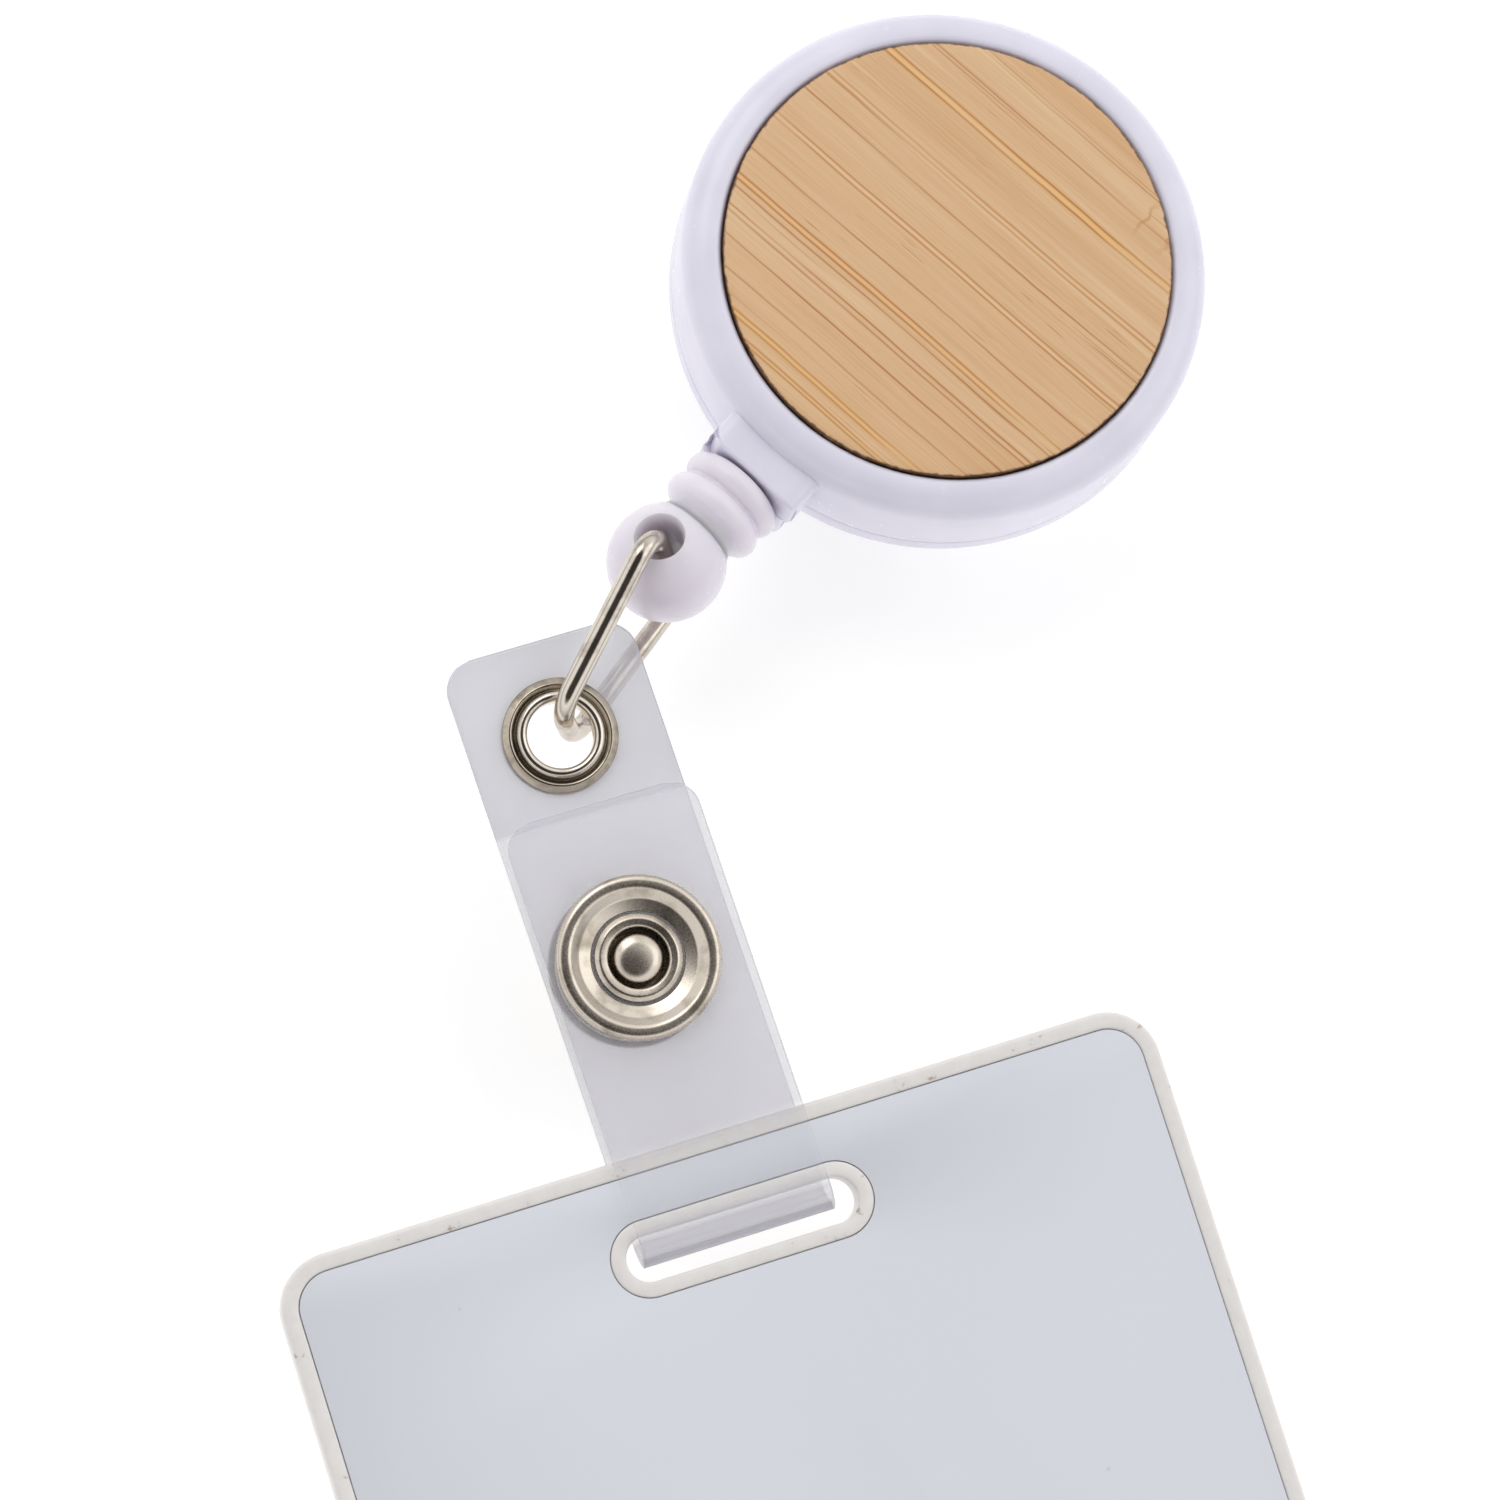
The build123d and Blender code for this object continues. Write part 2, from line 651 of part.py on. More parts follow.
with BuildPart() as belt_clip_plate:
    with BuildSketch(neck_section):
        with BuildLine():
            Line((clip_length / 2, back_z), (clip_start, back_z))
            ThreePointArc((clip_start, back_z), (clip_start - clip_axis_z, clip_axis_z), (clip_start, 0))
            Line((clip_start, 0), (clip_start, clip_steel))
            ThreePointArc(
                (clip_start, clip_steel),
                (clip_start - clip_axis_z + clip_steel, clip_axis_z),
                (clip_start, plate_bottom_z),
            )
            Line((clip_start, plate_bottom_z), (clip_length / 2, plate_bottom_z))
            Line((clip_length / 2, plate_bottom_z), (clip_length / 2, back_z))
        make_face()
    extrude(amount=clip_width / 2, both=True)
    with BuildSketch(Plane.XY):
        Circle(rivet_shank_radius + rivet_fit)
    extrude(amount=back_z, mode=Mode.SUBTRACT)
belt_clip_plate.part.label = "belt_clip_plate"

# The tongue runs back from the bend, rises to nip the belt and turns down again at its tip.
with BuildPart() as belt_clip_tongue:
    with BuildSketch(neck_section):
        with BuildLine():
            Polyline(
                (clip_start, 0),
                (clip_start, clip_steel),
                (clip_rest_length, clip_steel),
                (nip_x, nip_top_z),
                (tip_x, clip_axis_z - clip_steel / 2),
                (tip_x, clip_axis_z - 1.5 * clip_steel),
                (nip_x, nip_top_z - clip_steel),
                (clip_rest_length, 0),
                close=True,
            )
        make_face()
    extrude(amount=clip_width / 2, both=True)
belt_clip_tongue.part.label = "belt_clip_tongue"

rivet_top_z = cord_z + floor_thickness
with BuildPart() as clip_rivet:
    with BuildSketch(Plane.XY.offset(plate_bottom_z - rivet_head)):
        Circle(rivet_head_radius)
    extrude(amount=rivet_head)
    fillet(clip_rivet.edges().group_by(Axis.Z)[0], radius=rivet_head / 2)
    with BuildSketch(Plane.XY.offset(plate_bottom_z)):
        Circle(rivet_shank_radius)
    extrude(amount=rivet_top_z - plate_bottom_z)
clip_rivet.part.label = "clip_rivet"

# ---------------------------------------------------------------- one STEP file for each piece
pieces = [
    front_casing,
    rear_casing,
    bamboo_disc,
    disc_adhesive,
    spool,
    spool_cover,
    mainspring,
    cord_winding,
    cord_feed,
    cord_lead,
    cord_knot,
    cord_end_fitting,
    wire_link,
    strap_rear_leaf,
    strap_front_flap,
    eyelet_barrel,
    eyelet_washer,
    snap_ring,
    snap_socket,
    snap_stud,
    snap_back_ring,
    card_tray,
    card_face,
    belt_clip_plate,
    belt_clip_tongue,
    clip_rivet,
]
for piece in pieces:
    export_step(piece.part, f"parts/{piece.part.label}.step")

winding_mid_radius = barrel_radius + winding_depth / 2
print("case back, front, cord height:", back_z, front_z, round(cord_z, 3))
print("spool turns over the cord's length:", round(cord_length / (2 * pi * winding_mid_radius), 2))
print("slope of the strap and card, degrees:", round(degrees(slope), 3))
print("ball centre:", [round(v, 3) for v in ball_point])
print("hole direction:", [round(v, 4) for v in hole_direction])
print("link direction, length:", [round(v, 4) for v in link_direction], round(link_length, 3))
print("link across:", [round(v, 4) for v in link_across])
print("eyelet:", [round(v, 3) for v in eyelet_point])
print("strap normal:", [round(v, 4) for v in strap_plane.z_dir])
for name, y, h in (("fold hinge", fold_y, flap_top), ("fold centre", fold_y, leaf_top + strap_gap / 2)):
    point = eyelet_point + strap_plane.y_dir * y + strap_plane.z_dir * h
    print(name, [round(v, 3) for v in point])
print("neck direction:", [round(v, 4) for v in neck_direction])
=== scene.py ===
import json
from math import cos, pi, radians, sin, sqrt

import bmesh
import bpy
import numpy as np
from mathutils import Matrix, Vector


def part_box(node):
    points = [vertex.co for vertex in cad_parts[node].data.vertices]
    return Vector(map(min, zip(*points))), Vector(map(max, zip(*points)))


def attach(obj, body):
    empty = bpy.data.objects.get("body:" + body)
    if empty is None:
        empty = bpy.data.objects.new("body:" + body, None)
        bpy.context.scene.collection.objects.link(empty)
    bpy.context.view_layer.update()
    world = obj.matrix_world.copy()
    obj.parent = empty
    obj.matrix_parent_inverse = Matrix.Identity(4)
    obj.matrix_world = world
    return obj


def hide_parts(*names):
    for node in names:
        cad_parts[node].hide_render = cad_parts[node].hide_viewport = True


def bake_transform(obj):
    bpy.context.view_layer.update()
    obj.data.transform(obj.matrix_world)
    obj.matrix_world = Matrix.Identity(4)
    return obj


# A round badge reel with a bamboo inlay, lying face up, with a blank badge card in its clear
# strap. Lengths are in millimetres until a mesh is written, which turns them to metres.
MM = 0.001

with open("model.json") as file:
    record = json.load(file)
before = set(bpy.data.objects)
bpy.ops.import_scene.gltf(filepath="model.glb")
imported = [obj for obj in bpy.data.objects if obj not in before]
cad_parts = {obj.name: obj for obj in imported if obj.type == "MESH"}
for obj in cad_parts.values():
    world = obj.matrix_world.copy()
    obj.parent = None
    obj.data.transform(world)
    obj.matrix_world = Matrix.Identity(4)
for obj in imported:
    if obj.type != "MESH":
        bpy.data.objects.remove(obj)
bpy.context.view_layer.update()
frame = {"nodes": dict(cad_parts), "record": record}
record = frame["record"]


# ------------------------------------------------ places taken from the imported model
def node_box(name):
    """Lowest and highest corners of a CAD node, in millimetres."""
    low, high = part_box(name)
    return np.array(low) / MM, np.array(high) / MM


joints = {joint["name"]: joint for joint in record["behaviour"]["joints"]}


def joint_point(name):
    return np.array(joints[name]["pos_m"]) / MM


def joint_axis(name):
    axis = np.array(joints[name]["axis"], float)
    return axis / np.linalg.norm(axis)


UP = np.array([0.0, 0.0, 1.0])
case_low, case_high = node_box("front_casing")
CASE_R = case_high[1]
FRONT_Z = case_high[2]
SEAM_Z = case_low[2]
BACK_Z = node_box("rear_casing")[0][2]
BAMBOO_TOP = node_box("bamboo_disc")[1][2]
BAMBOO_BOTTOM = node_box("bamboo_disc")[0][2]
BAMBOO_R = node_box("bamboo_disc")[1][1]
RECESS_Z = node_box("disc_adhesive")[0][2]

NECK = joint_axis("cord_pull")
NECK_SIDE = np.cross(UP, NECK)
BALL = joint_point("link_swing")
CORD_Z = BALL[2]
BALL_S = float(NECK @ BALL)
LINK_ACROSS = joint_axis("link_swing")
EYE_WIRE = joint_point("strap_swing")
LINK_LENGTH = float(np.linalg.norm(EYE_WIRE - BALL))
LINK_ALONG = (EYE_WIRE - BALL) / LINK_LENGTH

# The strap and card share one sloping plane: u across, v up the strap, h out of it.
STRAP_N = joint_axis("strap_swing")
STRAP_U = np.array([1.0, 0.0, 0.0])
STRAP_V = np.cross(STRAP_N, STRAP_U)
eye_low, eye_high = node_box("eyelet_barrel")
EYE = np.array([(eye_low[0] + eye_high[0]) / 2, (eye_low[1] + eye_high[1]) / 2, CORD_Z])
HINGE = joint_point("flap_open")
SLOT_CENTRE = joint_point("card_swing")

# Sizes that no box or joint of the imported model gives, repeated from the part's source.
WALL = 1.4
FLOOR = 1.2
CEILING = 1.0
POST_R = 2.1
SPIGOT_HEIGHT = 0.9
MOUTH_ROOT = 14.9  # where the mouth block starts, inside the case's wall
MOUTH_FACE = 17.95
FITTING_S = MOUTH_FACE + 0.15
BALL_R = 3.6
CORD_R = 0.45
WIRE_R = 0.625
CLIP_STEEL = 0.6
CLIP_END = 12.5  # the clip reaches this far to both sides of the case's axis
CLIP_HALF = 5.0


def on_strap(u, v, h):
    """Points of the strap's plane, from its own u, v and h."""
    u, v, h = np.broadcast_arrays(u, v, h)
    return EYE + u[..., None] * STRAP_U + v[..., None] * STRAP_V + h[..., None] * STRAP_N


def on_neck(s, x, z):
    """Points along the neck: s out from the case's axis, x to its side, z above the cord."""
    s, x, z = np.broadcast_arrays(s, x, z)
    centre = np.array([0.0, 0.0, CORD_Z])
    return centre + s[..., None] * NECK + x[..., None] * NECK_SIDE + z[..., None] * UP


def strap_v_of(point):
    return float((point - EYE) @ STRAP_V)


# ------------------------------------------------ surfaces worked out on grids
def rounded(corners, radii, steps=7, closed=False):
    """A path through corners, each turned into an arc of its radius, tangent to both runs."""
    corners = np.array(corners, float)
    count = len(corners)
    radii = np.broadcast_to(radii, count)
    path = []
    for k in range(count):
        here = corners[k]
        ends = not closed and k in (0, count - 1)
        before = corners[k - 1] - here
        after = corners[(k + 1) % count] - here
        turn = 0.0
        if not ends and radii[k] > 0:
            before = before / np.linalg.norm(before)
            after = after / np.linalg.norm(after)
            turn = np.arccos(np.clip(before @ after, -1, 1))
        if turn == 0.0 or turn > pi - 0.02:
            path.append(here)
            continue
        reach = radii[k] / np.tan(turn / 2)
        middle = (before + after) / np.linalg.norm(before + after)
        centre = here + middle * radii[k] / np.sin(turn / 2)
        first = here + before * reach - centre
        last = here + after * reach - centre
        sweep = pi - turn
        for t in np.linspace(0, 1, steps):
            mix = first * sin((1 - t) * sweep) + last * sin(t * sweep)
            path.append(centre + mix / sin(sweep))
    return np.array(path)


def spaced(path, step, closed=False):
    """The same path with points no further apart than step."""
    if closed:
        path = np.vstack([path, path[:1]])
    run = np.r_[0, np.cumsum(np.linalg.norm(np.diff(path, axis=0), axis=1))]
    extra = np.linspace(0, run[-1], int(run[-1] / step) + 2)
    at = np.unique(np.round(np.r_[run, extra], 5))
    points = np.stack([np.interp(at, run, path[:, k]) for k in range(path.shape[1])], -1)
    return points[:-1] if closed else points


def grid(points, close_u=False, close_v=False, material=0, keep=None):
    """A shell: its points, the quads between neighbours, and the material slot of each quad."""
    points = np.asarray(points, float)
    nu, nv = points.shape[:2]
    i = np.arange(nu if close_u else nu - 1)
    j = np.arange(nv if close_v else nv - 1)
    i, j = np.meshgrid(i, j, indexing="ij")
    i2, j2 = (i + 1) % nu, (j + 1) % nv
    quads = np.stack([i * nv + j, i2 * nv + j, i2 * nv + j2, i * nv + j2], -1).reshape(-1, 4)
    flat = points.reshape(-1, 3)
    if keep is not None:
        quads = quads[keep(flat[quads].mean(1))]
    return flat, quads, np.full(len(quads), material)


def piece(name, *shells, sharp=38):
    """One mesh object from shells, in metres, with doubles merged, normals outward and smooth
    shading, except across edges that turn by more than sharp degrees."""
    points, quads, slots, start = [], [], [], 0
    for flat, faces, material in shells:
        points.append(flat)
        quads.append(faces + start)
        slots.append(material)
        start += len(flat)
    points = np.vstack(points) * MM
    quads = np.vstack(quads)
    slots = np.concatenate(slots)
    mesh = bpy.data.meshes.new(name)
    mesh.from_pydata(points.tolist(), [], quads.tolist())
    mesh.polygons.foreach_set("material_index", slots.astype(np.int32))
    mesh.update()
    body = bmesh.new()
    body.from_mesh(mesh)
    bmesh.ops.remove_doubles(body, verts=body.verts, dist=1e-7)
    bmesh.ops.recalc_face_normals(body, faces=body.faces)
    loose = [vert for vert in body.verts if not vert.link_faces]
    bmesh.ops.delete(body, geom=loose, context="VERTS")
    body.to_mesh(mesh)
    body.free()
    mesh.shade_smooth()
    mesh.set_sharp_from_angle(angle=radians(sharp))
    made = bpy.data.objects.new(name, mesh)
    bpy.context.scene.collection.objects.link(made)
    return made


def turned(profile, origin, axis, segments=144, material=0, closed=False, wobble=None):
    """A profile of (radius, height) pairs turned about an axis through origin. A wobble gives a
    factor on the radius at each angle."""
    profile = np.asarray(profile, float)
    axis = np.array(axis, float)
    side = np.cross(axis, [0.31, 0.95, 0.05])
    side /= np.linalg.norm(side)
    other = np.cross(axis, side)
    angle = np.linspace(0, 2 * pi, segments, endpoint=False)[:, None]
    radius = profile[None, :, 0]
    if wobble is not None:
        radius = radius * wobble(angle)
    ring = np.cos(angle)[..., None] * side + np.sin(angle)[..., None] * other
    points = np.array(origin) + radius[..., None] * ring + profile[None, :, 1, None] * axis
    return grid(points, close_u=True, close_v=closed, material=material)


def tube(path, radius, sides=20, closed=False):
    """A circle of the given radius carried along a path that lies in one plane."""
    path = np.asarray(path, float)
    if closed:
        run = np.roll(path, -1, 0) - np.roll(path, 1, 0)
    else:
        run = np.gradient(path, axis=0)
    run /= np.linalg.norm(run, axis=1)[:, None]
    spread = path - path.mean(0)
    normal = np.linalg.svd(spread)[2][2]
    across = np.cross(run, normal)
    across /= np.linalg.norm(across, axis=1)[:, None]
    angle = np.linspace(0, 2 * pi, sides, endpoint=False)
    ring = np.cos(angle)[None, :, None] * across[:, None] + np.sin(angle)[None, :, None] * normal
    points = path[:, None] + radius * ring
    return grid(points, close_u=closed, close_v=True)


def cap(centre, ring):
    """A closed fan of zero-width quads from a ring to its centre."""
    ring = np.asarray(ring, float)
    points = np.stack([ring, np.broadcast_to(centre, ring.shape)], 1)
    return grid(points, close_u=True)


# ------------------------------------------------ materials
def linear(code):
    """An sRGB hex colour as linear RGBA."""
    code = code.lstrip("#")
    channels = [int(code[k:k + 2], 16) / 255 for k in (0, 2, 4)]
    return [c / 12.92 if c <= 0.04045 else ((c + 0.055) / 1.055) ** 2.4 for c in channels] + [1.0]


def add(tree, kind, inputs=None, out=0, stops=None, **settings):
    """Adds a node with its settings, links or sets each named input, and gives one of its
    outputs. The stops of a colour ramp are (position, hex colour) pairs."""
    node = tree.nodes.new("ShaderNode" + kind)
    for key, value in settings.items():
        setattr(node, key, value)
    for key, value in (inputs or {}).items():
        if isinstance(value, bpy.types.NodeSocket):
            tree.links.new(value, node.inputs[key])
        else:
            node.inputs[key].default_value = value
    for k, (position, code) in enumerate(stops or ()):
        element = node.color_ramp.elements[k] if k < 2 else node.color_ramp.elements.new(position)
        element.position = position
        element.color = linear(code)
    return node.outputs[out]


def material(name, colour, roughness, **sockets):
    """A Principled material with its plain values on the shader's own sockets."""
    made = bpy.data.materials.new(name)
    made.use_nodes = True
    tree = made.node_tree
    shader = tree.nodes["Principled BSDF"]
    shader.inputs["Base Color"].default_value = linear(colour)
    shader.inputs["Roughness"].default_value = roughness
    for key, value in sockets.items():
        shader.inputs[key.replace("_", " ")].default_value = value
    return made, tree, shader


def millimetres(tree, turn=(0.0, 0.0, 0.0)):
    """Object coordinates in millimetres, turned."""
    place = add(tree, "TexCoord", out="Object")
    return add(tree, "Mapping", {"Vector": place, "Rotation": turn, "Scale": (1 / MM,) * 3})


def polished_moulding(name, low, high, milky, depth_mm):
    """Glossy moulding, ABS or the milkier polypropylene: a polished skin with a very faint
    waviness, slight swirls of shade, and light that goes a little way in."""
    made, tree, shader = material(name, high, 0.24, IOR=1.54, Subsurface_Weight=milky,
                                  Subsurface_Scale=depth_mm * MM, Specular_IOR_Level=0.4)
    shader.inputs["Subsurface Radius"].default_value = (1.0, 0.9, 0.95)
    place = millimetres(tree)
    cloud = add(tree, "TexNoise", {"Vector": place, "Scale": 0.22, "Detail": 2.0})
    shade = add(tree, "ValToRGB", {"Fac": cloud}, stops=((0.3, low), (0.7, high)))
    tree.links.new(shade, shader.inputs["Base Color"])
    skin = add(tree, "TexNoise", {"Vector": place, "Scale": 1.3, "Detail": 3.0, "Roughness": 0.55})
    shine = add(tree, "MapRange", {"Value": skin, "To Min": 0.19, "To Max": 0.31})
    tree.links.new(shine, shader.inputs["Roughness"])
    wave = add(tree, "TexNoise", {"Vector": place, "Scale": 0.9, "Detail": 2.0})
    wavy = add(tree, "Bump", {"Height": wave, "Distance": 0.02 * MM, "Strength": 0.35})
    tree.links.new(wavy, shader.inputs["Normal"])
    return made


GRAIN_TURN = radians(58.9)  # brings the bamboo's fibres onto the material's own x

# Lines of the bamboo: distance across the grain, half the gap of a pair of brown lines, their
# depth, and the colour of the stripe between them. A gap of zero is a single line.
VESSEL_BROWN = "#b9793f"
VESSEL_LINES = (
    (7.6, 0.22, 0.95, "#f1bd76"), (4.0, 0.16, 0.7, "#e9c193"), (2.2, 0.0, 0.6, None),
    (-0.3, 0.17, 0.75, "#ecc598"), (-2.9, 0.0, 0.6, None), (-4.8, 0.18, 0.9, "#edbd85"),
    (-5.4, 0.0, 0.6, None), (-6.5, 0.0, 0.75, None), (-6.85, 0.0, 0.5, None),
    (-8.1, 0.0, 0.75, None), (9.9, 0.0, 0.5, None), (-9.7, 0.0, 0.4, None),
    (-11.5, 0.15, 0.7, "#eec07c"), (-12.5, 0.12, 0.7, "#e9bf86"), (11.7, 0.1, 0.5, "#e6c193"))


def bamboo():
    """Bamboo veneer, laser cut and lightly sanded: a straw ground with fine fibre, thin brown
    vessel lines that mostly run in pairs with a paler stripe between, a few short dashes, and a
    node near the rim."""
    made, tree, shader = material("bamboo_veneer", "#dfba90", 0.5, Specular_IOR_Level=0.3)
    place = millimetres(tree, turn=(0, 0, GRAIN_TURN))
    along = add(tree, "SeparateXYZ", {"Vector": place})
    across = along.node.outputs[1]
    # The grain strays by up to 0.35 mm over a long run, and by a few hundredths over a short.
    for scale, stray in ((0.05, 0.7), (0.45, 0.07)):
        wander = add(tree, "TexNoise", {"Vector": place, "Scale": scale, "Detail": 1.0})
        centred = add(tree, "Math", {0: wander, 1: 0.5}, operation="SUBTRACT")
        across = add(tree, "Math", {0: centred, 1: stray, 2: across}, operation="MULTIPLY_ADD")

    def streak(run, width, seed, detail=1.0, low=None, high=None):
        """Noise drawn out along the grain: run and width are a streak's length and width in
        millimetres. With low and high it becomes a soft mask between those levels."""
        far = add(tree, "Math", {0: along, 1: run}, operation="DIVIDE")
        wide = add(tree, "Math", {0: across, 1: width}, operation="DIVIDE")
        spot = add(tree, "CombineXYZ", {0: far, 1: wide, 2: seed})
        value = add(tree, "TexNoise", {"Vector": spot, "Scale": 1.0, "Detail": detail,
                                       "Roughness": 0.55})
        if low is None:
            return value
        return add(tree, "MapRange", {"Value": value, "From Min": low, "From Max": high},
                   interpolation_type="SMOOTHSTEP")

    def laid(under, much, share, code):
        """Lays a colour over what is under it, where much is one."""
        amount = add(tree, "Math", {0: much, 1: share}, operation="MULTIPLY")
        return add(tree, "Mix", {0: amount, 6: under, 7: linear(code)}, out=2, data_type="RGBA")

    fine = streak(7, 0.14, 1.0, 3.0)
    ground = add(tree, "ValToRGB", {"Fac": streak(45, 2.4, 4.0, 2.0)},
                 stops=((0.32, "#d7ab7d"), (0.5, "#dfb78c"), (0.68, "#e5c299")))
    pores = add(tree, "ValToRGB", {"Fac": fine},
                stops=((0.3, "#cfa274"), (0.55, "#e3bd93"), (0.8, "#eccfa9")))
    colour = add(tree, "Mix", {0: 0.35, 6: ground, 7: pores}, out=2, data_type="RGBA")
    vessels = add(tree, "Math", {0: streak(24, 0.26, 7.0, 2.0, 0.60, 0.70),
                                 1: streak(30, 1.5, 12.0, 1.0, 0.46, 0.62)}, operation="MULTIPLY")
    dashes = add(tree, "Math", {0: streak(3.2, 0.12, 31.0, 1.0, 0.68, 0.76),
                                1: streak(9, 4.0, 40.0, 1.0, 0.5, 0.62)}, operation="MULTIPLY")
    colour = laid(colour, vessels, 0.6, "#b57c48")
    colour = laid(colour, dashes, 0.7, "#a76f3d")

    for offset, gap, brown_depth, stripe in VESSEL_LINES:
        fading = streak(9, 1.2, offset, 1.0, 0.2, 0.55)
        brown_width = 0.055 + 0.1 * gap
        for place_across, width, depth, code in (
                (offset, gap + 0.06, 0.8, stripe),
                (offset - gap, brown_width, brown_depth, VESSEL_BROWN),
                (offset + gap, brown_width, brown_depth, VESSEL_BROWN)):
            if code is None or (gap == 0.0 and place_across > offset):
                continue
            # A bell of the given width: e to the minus square of the distance over the width.
            away = add(tree, "Math", {0: across, 1: place_across}, operation="SUBTRACT")
            away = add(tree, "Math", {0: away, 1: width}, operation="DIVIDE")
            square = add(tree, "Math", {0: away, 1: away}, operation="MULTIPLY")
            fall = add(tree, "Math", {0: square, 1: -1.0}, operation="MULTIPLY")
            bell = add(tree, "Math", {0: fall}, operation="EXPONENT")
            seen = add(tree, "Math", {0: bell, 1: fading}, operation="MULTIPLY")
            colour = laid(colour, seen, depth, code)
    colour = laid(colour, streak(40, 0.8, 21.0, 1.0, 0.6, 0.72), 0.35, "#efd4ab")

    # The bamboo's node: a few short cross lines in a small patch near the rim.
    squeezed = add(tree, "Math", {0: along, 1: 0.55}, operation="MULTIPLY")
    spot = add(tree, "CombineXYZ", {0: squeezed, 1: across})
    away = add(tree, "VectorMath", {0: spot, 1: (4.4, 10.2, 0.0)}, out="Value",
               operation="DISTANCE")
    inside = add(tree, "MapRange", {"Value": away, "From Min": 0.6, "From Max": 1.5,
                                    "To Min": 1.0, "To Max": 0.0})
    jitter = add(tree, "TexNoise", {"Vector": place, "Scale": 0.9, "Detail": 1.0})
    slant = add(tree, "Math", {0: jitter, 1: 1.2, 2: along}, operation="MULTIPLY_ADD")
    phase = add(tree, "Math", {0: slant, 1: 3.4}, operation="MULTIPLY")
    swing = add(tree, "Math", {0: phase}, operation="SINE")
    rungs = add(tree, "MapRange", {"Value": swing, "From Min": 0.8, "From Max": 0.98})
    crossed = add(tree, "Math", {0: rungs, 1: inside}, operation="MULTIPLY")
    colour = laid(colour, crossed, 0.55, "#c48a55")

    # Char from the laser creeps up to a fifth of a millimetre over the rim.
    flat = add(tree, "VectorMath", {0: place, 1: (1, 1, 0)}, operation="MULTIPLY")
    radius = add(tree, "VectorMath", {0: flat}, out="Value", operation="LENGTH")
    uneven = add(tree, "TexNoise", {"Vector": place, "Scale": 1.6, "Detail": 3.0,
                                    "Roughness": 0.7})
    creep = add(tree, "Math", {0: uneven, 1: 0.3, 2: BAMBOO_R - 0.24}, operation="MULTIPLY_ADD")
    over = add(tree, "Math", {0: radius, 1: creep}, operation="SUBTRACT")
    char = add(tree, "MapRange", {"Value": over, "From Min": -0.04, "From Max": 0.06})
    colour = laid(colour, char, 0.85, "#4a2a20")
    tree.links.new(colour, shader.inputs["Base Color"])
    height = add(tree, "Math", {0: fine, 1: vessels}, operation="SUBTRACT")
    grain = add(tree, "Bump", {"Height": height, "Distance": 0.03 * MM, "Strength": 0.4})
    tree.links.new(grain, shader.inputs["Normal"])
    return made


def mottled(name, stops, roughness, patch_mm, grain_mm, depth_mm, **sockets):
    """A plain material whose colour drifts between stops in patches of patch_mm, with a fine
    grain of grain_mm that stands depth_mm high."""
    made, tree, shader = material(name, stops[-1][1], roughness, **sockets)
    place = millimetres(tree)
    cloud = add(tree, "TexNoise", {"Vector": place, "Scale": 1 / patch_mm, "Detail": 3.0,
                                   "Roughness": 0.6})
    shade = add(tree, "ValToRGB", {"Fac": cloud}, stops=stops)
    tree.links.new(shade, shader.inputs["Base Color"])
    grain = add(tree, "TexNoise", {"Vector": place, "Scale": 1 / grain_mm, "Detail": 3.0})
    rough = add(tree, "Bump", {"Height": grain, "Distance": depth_mm * MM, "Strength": 0.4})
    tree.links.new(rough, shader.inputs["Normal"])
    return made


def plated(name, low, high, roughness, grit_mm):
    """Nickel plate or bare steel: a metal with a faint haze between two shades, and fine wear
    with grit_mm between its marks."""
    made, tree, shader = material(name, high, roughness, Metallic=1.0)
    place = millimetres(tree)
    haze = add(tree, "TexNoise", {"Vector": place, "Scale": 0.5, "Detail": 3.0, "Roughness": 0.6})
    shade = add(tree, "ValToRGB", {"Fac": haze}, stops=((0.28, low), (0.5, high)))
    tree.links.new(shade, shader.inputs["Base Color"])
    grit = add(tree, "TexNoise", {"Vector": place, "Scale": 1 / grit_mm, "Detail": 3.0,
                                  "Roughness": 0.6})
    shine = add(tree, "MapRange", {"Value": grit, "To Min": roughness * 0.7,
                                   "To Max": roughness * 1.4})
    tree.links.new(shine, shader.inputs["Roughness"])
    worn = add(tree, "Bump", {"Height": grit, "Distance": 0.01 * MM, "Strength": 0.25})
    tree.links.new(worn, shader.inputs["Normal"])
    return made


